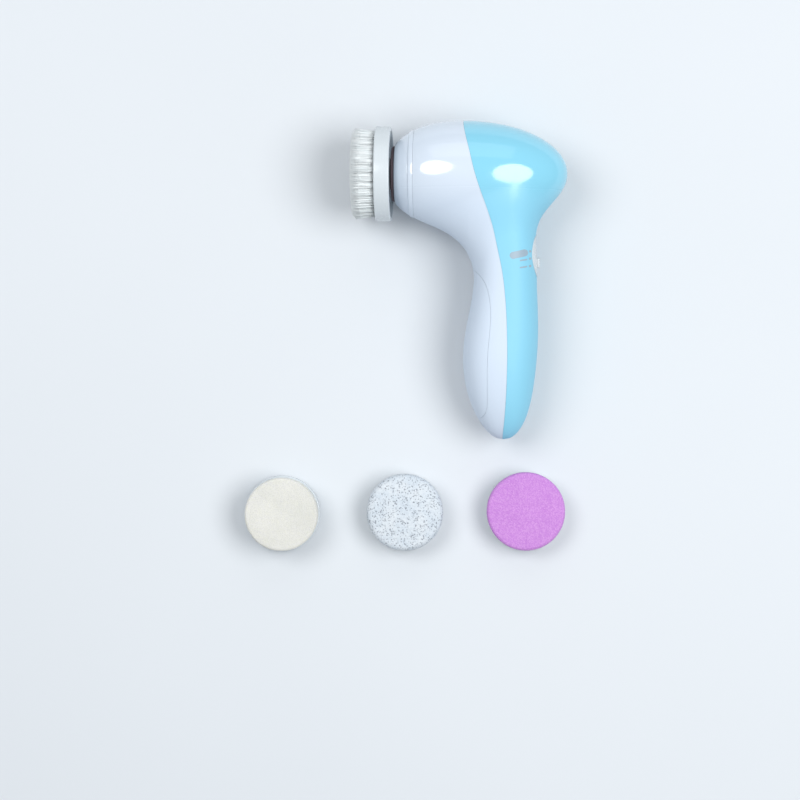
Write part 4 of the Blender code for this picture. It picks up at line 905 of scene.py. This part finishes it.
def bristle_fields():
    """The fine filaments that lean out of their tufts, and the thicker, shorter ones that fill the middle."""
    chance = np.random.RandomState(11)
    roots, tips = [], []
    for radius, count in TUFT_RINGS.items():
        for i in range(count):
            turn = 2 * math.pi * (i + 0.5 * (count % 4 == 0)) / count
            centre = np.array((radius * math.cos(turn), radius * math.sin(turn)))
            spread = scattered(chance, np.sqrt(chance.rand(BRISTLES_PER_TUFT)))
            roots.append(centre + spread * TUFT_RADIUS)
            tips.append(centre * 1.015 + spread * TUFT_SPLAY + chance.randn(BRISTLES_PER_TUFT, 2) * 0.16)
    loose = scattered(chance, LOOSE_START + LOOSE_BAND * chance.rand(LOOSE_BRISTLES))
    roots.append(loose)
    tips.append(loose * TIP_SPREAD + chance.randn(LOOSE_BRISTLES, 2) * 0.2)
    inner = scattered(chance, INNER_REACH * np.sqrt(chance.rand(INNER_STRANDS)))
    drop = INNER_DROP * (1 + 0.35 * chance.rand(INNER_STRANDS))
    fine = strands(chance, np.vstack(roots), np.vstack(tips), BRISTLE_RADIUS, 0.0)
    return fine, strands(chance, inner, inner * TIP_SPREAD, INNER_RADIUS, drop)


def scattered(chance, reach):
    """Flat points at random turns about the middle, each at its own reach."""
    angle = chance.rand(len(reach)) * 2 * np.pi
    return np.stack([np.cos(angle), np.sin(angle)], axis=1) * reach[:, None]


def strands(chance, roots, tips, radius, drop):
    """Three-sided tubes from their roots on the base to tips that follow the brush's rounded face."""
    sides = 3
    out = np.hypot(tips[:, 0], tips[:, 1])
    tips = tips * np.minimum(1, BRISTLE_REACH / np.maximum(out, 1e-6))[:, None]
    out = np.minimum(out, BRISTLE_REACH)
    shoulder = np.maximum(out - BRISTLE_SHOULDER, 0)
    tip_x = BRISTLE_TIP + BRISTLE_CROWN * (out / BRISTLE_REACH) ** 2 + SHOULDER_DROP * shoulder**1.6 + drop
    tip_x = tip_x + chance.randn(len(out)) * 0.10
    root_x = BRUSH_FACE + 0.95
    share = np.linspace(0, 1, len(BRISTLE_TAPER))
    corner = 2 * np.pi * np.arange(sides) / sides
    ring = np.stack([np.cos(corner), np.sin(corner)], axis=1)
    points = np.empty((len(roots), len(share), sides, 3))
    points[..., 0] = (root_x + (tip_x - root_x)[:, None] * share)[:, :, None]
    lean = roots[:, None] + (tips - roots)[:, None] * (share**1.6)[:, None]
    points[..., 1:] = lean[:, :, None] + radius * np.array(BRISTLE_TAPER)[:, None, None] * ring
    faces = []
    for strand in range(len(roots)):
        base = strand * len(share) * sides
        for a in range(base, base + (len(share) - 1) * sides, sides):
            for i in range(sides):
                after = (i + 1) % sides
                faces.append((a + i, a + sides + i, a + sides + after, a + after))
        faces.append((base, base + 1, base + 2))
        end = base + (len(share) - 1) * sides
        faces.append((end + 2, end + 1, end))
    mesh = bpy.data.meshes.new("strands")
    mesh.from_pydata(points.reshape(-1, 3).tolist(), [], faces)
    mesh.update()
    return mesh


# ---- Spare heads ---------------------------------------------------------
def upright(place):
    """The matrix that stands a shape turned about X on the table at a place, in millimetres."""
    return Matrix.Translation(place) @ Matrix.Scale(MM, 4) @ Matrix.Rotation(-math.pi / 2, 4, "Y")


def head_place(kind):
    low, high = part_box(f"{kind}_base")
    return Vector(((low.x + high.x) / 2, (low.y + high.y) / 2, low.z))


def head_base(kind):
    """A cup with a rounded rim and a hexagonal socket in the boss at its middle."""
    height, radius = HEAD_BASE_HEIGHT, HEAD_BASE_RADIUS
    post, top = 6.2, height + 3.6
    outline = [(0, radius - 1.8), (0, radius), (height, radius), (height, post), (top, post), (top, 0)]
    outside = rounded(outline, [0, 0.6, 0.5, 0.2, 0.4, 0])
    inside = rounded([(height - 1.6, 7.0), (height - 1.6, radius - 1.8), (0, radius - 1.8)], 0.4, 3)
    boss = [(height + 2.2, 0), (height + 2.2, SOCKET_BORE), (0, SOCKET_BORE), (0, 7.0)]
    shape = turned([*boss, *inside, *outside[1:]], 128)
    collar = plate(socket_outlines(), 0.0, height + 2.3)
    place = head_place(kind)
    piece(f"{kind}_cup", shape, upright(place), f"{kind}_head", "white_plastic", [f"{kind}_base"])
    level = Matrix.Translation(place) @ Matrix.Scale(MM, 4)
    piece(f"{kind}_socket", collar, level, f"{kind}_head", "white_plastic")


def pad_profile(size, step):
    """The pad's outer skin from its foot to the middle of its face, as evenly spaced points."""
    radius, top, edge = size["radius"], PAD_FLOOR + size["height"], size["edge"]
    corners = [(PAD_FLOOR, radius - 0.6), (PAD_FLOOR + 0.5, radius), (top - edge, radius)]
    arc = [
        (top - edge + edge * math.sin(a), radius - edge + edge * math.cos(a))
        for a in (math.pi / 2 * i / 10 for i in range(1, 11))
    ]
    crown = []
    for i in range(1, 25):
        r = (radius - edge) * (1 - i / 24)
        crown.append((top + size["crown"] * (1 - (r / (radius - edge)) ** 2), r))
    path = [Vector(p) for p in [*corners, *arc, *crown]]
    made = [path[0]]
    for a, b in zip(path, path[1:]):
        parts = max(1, round((b - a).length / step))
        made += [a.lerp(b, i / parts) for i in range(1, parts + 1)]
    return [tuple(p) for p in made]


def pad_shape(size, step, sides):
    foot = [(PAD_FLOOR + 4.0, 0), (PAD_FLOOR + 4.0, 6.7), (PAD_FLOOR, 6.7), (PAD_FLOOR, size["radius"] - 2.0)]
    return turned([*foot, *pad_profile(size, step)], sides)


def skin_points(mesh):
    """The points and outward directions of a mesh's vertices."""
    points = np.empty(len(mesh.vertices) * 3, np.float32)
    normals = np.empty(len(mesh.vertices) * 3, np.float32)
    mesh.vertices.foreach_get("co", points)
    mesh.vertex_normals.foreach_get("vector", normals)
    return points.reshape(-1, 3), normals.reshape(-1, 3)


def on_face(points, floor):
    """Which points lie on a pad's outer skin, clear of its foot and of the hole for the socket."""
    across = np.hypot(points[:, 1], points[:, 2])
    return (points[:, 0] > floor) & ((across > 7.5) | (points[:, 0] > PAD_FLOOR + 4.5))


def roughen(mesh, amount, scale):
    """Moves the outer skin in and out by smooth noise, in millimetres."""
    points, normals = skin_points(mesh)
    lift = np.zeros(len(points))
    for i in np.flatnonzero(on_face(points, PAD_FLOOR + 0.6)):
        place = Vector(points[i])
        lift[i] = noise.noise(place * scale) * amount + noise.noise(place * scale * 3.1) * amount * 0.5
    moved = points + normals * lift[:, None]
    mesh.vertices.foreach_set("co", moved.astype(np.float32).ravel())
    mesh.update()


def pit(mesh):
    """Sinks round pores into the outer skin and stores how deep each point lies in one, which sets the painted
    shade inside them.
    """
    chance = np.random.RandomState(PORE_SEED)
    points, normals = skin_points(mesh)
    tree = kdtree.KDTree(len(points))
    for i, point in enumerate(points):
        tree.insert(point, i)
    tree.balance()
    outside = np.flatnonzero(on_face(points, PAD_FLOOR + 0.8))
    weights = np.maximum(np.hypot(points[outside, 1], points[outside, 2]), 0.2)
    depth = np.zeros(len(points), np.float32)
    for pick in chance.choice(outside, PORES, replace=False, p=weights / weights.sum()):
        size = SMALLEST_PORE + (LARGEST_PORE - SMALLEST_PORE) * chance.rand() ** 2.2
        for _, index, distance in tree.find_range(points[pick], size):
            depth[index] = max(depth[index], min(1.0, 1.6 * (1 - distance / size)))
    moved = points - normals * depth[:, None] * PORE_DEPTH
    mesh.vertices.foreach_set("co", moved.astype(np.float32).ravel())
    mesh.update()
    mesh.attributes.new("pore", "FLOAT", "POINT").data.foreach_set("value", depth)


def spare_heads():
    for kind in PADS:
        head_base(kind)
    for kind, (name, step, sides, lump, scale, smooth) in PAD_SKINS.items():
        pad = pad_shape(PADS[kind], step, sides)
        roughen(pad, lump, scale)
        if kind == "pumice":
            pit(pad)
        place = upright(head_place(kind))
        made = piece(name, pad, place, f"{kind}_head", kind, [f"{kind}_pad"], smooth=smooth)


# ---- Carried-over nodes --------------------------------------------------
def finish_frame(frame):
    """Gives every CAD node that still shows its finished material, by its slot in the record."""
    slots = {s["node"]: s["material_slot"] for s in frame["record"]["subparts"]}
    for name, node in frame["nodes"].items():
        node.data.materials.clear()
        node.data.materials.append(MATERIALS[slots[name]])


# ---- Stage ---------------------------------------------------------------
def facing(place, back):
    """The matrix of a lamp at a place, lit away from back, with its width level with the table."""
    back = back.normalized()
    across = (Vector((1, 0, 0)) - back * back.x).normalized()
    turn = Matrix((across, back.cross(across), back)).transposed().to_4x4()
    return Matrix.Translation(place) @ turn


def stage(low, high):
    """A pale floor, a bright surround, two softboxes beside the camera and the camera straight above."""
    distance, mid_height, field, half_floor = 1.2, 0.025, 0.368, 4.0
    # How far the camera stands off the set's middle, for the photograph's margins.
    off_centre = (-0.0021, -0.0289)
    centre = (low + high) / 2
    mesh = bpy.data.meshes.new("floor")
    corners = [(x * half_floor, y * half_floor, 0) for x, y in ((-1, -1), (1, -1), (1, 1), (-1, 1))]
    mesh.from_pydata(corners, [], [(0, 1, 2, 3)])
    mesh.materials.append(floor_material())
    floor = bpy.data.objects.new("floor", mesh)
    floor.location.z = low.z - 0.0004
    bpy.context.scene.collection.objects.link(floor)

    world = bpy.data.worlds.new("studio")
    world.use_nodes = True
    set_inputs(world.node_tree.nodes["Background"], {"Color": (0.90, 0.94, 1.0, 1.0), "Strength": 0.42})
    bpy.context.scene.world = world

    # Each lamp's shape, its place from the focus, its size and its radiance.
    focus = Vector((centre.x, centre.y, mid_height))
    for name, shape, place, size, radiance in (
        ("softbox_left", "ELLIPSE", (-0.50, 0.255, 1.0), (0.70, 0.60), 4.0),
        ("softbox_right", "ELLIPSE", (0.60, 0.00, 1.0), (0.68, 0.90), 4.6),
        ("fill_top", "RECTANGLE", (0.0, 0.95, 0.75), (1.2, 0.7), 0.5),
    ):
        light = bpy.data.lights.new(name, "AREA")
        light.shape = shape
        light.size, light.size_y = size
        light.energy = radiance * math.pi * size[0] * size[1]
        lamp = bpy.data.objects.new(name, light)
        lamp.matrix_world = facing(focus + Vector(place), Vector(place))
        bpy.context.scene.collection.objects.link(lamp)

    camera = bpy.data.cameras.new("camera")
    camera.sensor_width = 36
    camera.lens = 36 * (distance - mid_height) / field
    camera.clip_start = 0.05
    shot = bpy.data.objects.new("camera", camera)
    shot.location = (centre.x + off_centre[0], centre.y + off_centre[1], distance)
    bpy.context.scene.collection.objects.link(shot)
    bpy.context.scene.camera = shot
    bpy.context.scene.view_settings.view_transform = "Standard"


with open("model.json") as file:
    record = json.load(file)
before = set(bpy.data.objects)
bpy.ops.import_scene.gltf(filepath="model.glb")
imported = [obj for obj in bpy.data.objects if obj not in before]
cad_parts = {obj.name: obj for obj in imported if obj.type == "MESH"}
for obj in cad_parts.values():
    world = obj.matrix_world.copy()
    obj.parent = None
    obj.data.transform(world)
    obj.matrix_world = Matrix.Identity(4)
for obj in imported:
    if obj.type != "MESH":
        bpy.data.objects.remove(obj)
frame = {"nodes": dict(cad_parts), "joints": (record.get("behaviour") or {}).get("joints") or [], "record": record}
cad_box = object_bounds()
PLACE = device_place(frame)
MATERIALS = slot_materials()
stage(*cad_box)
housing()
marks()
knob()
cells()
brush()
spare_heads()
finish_frame(frame)
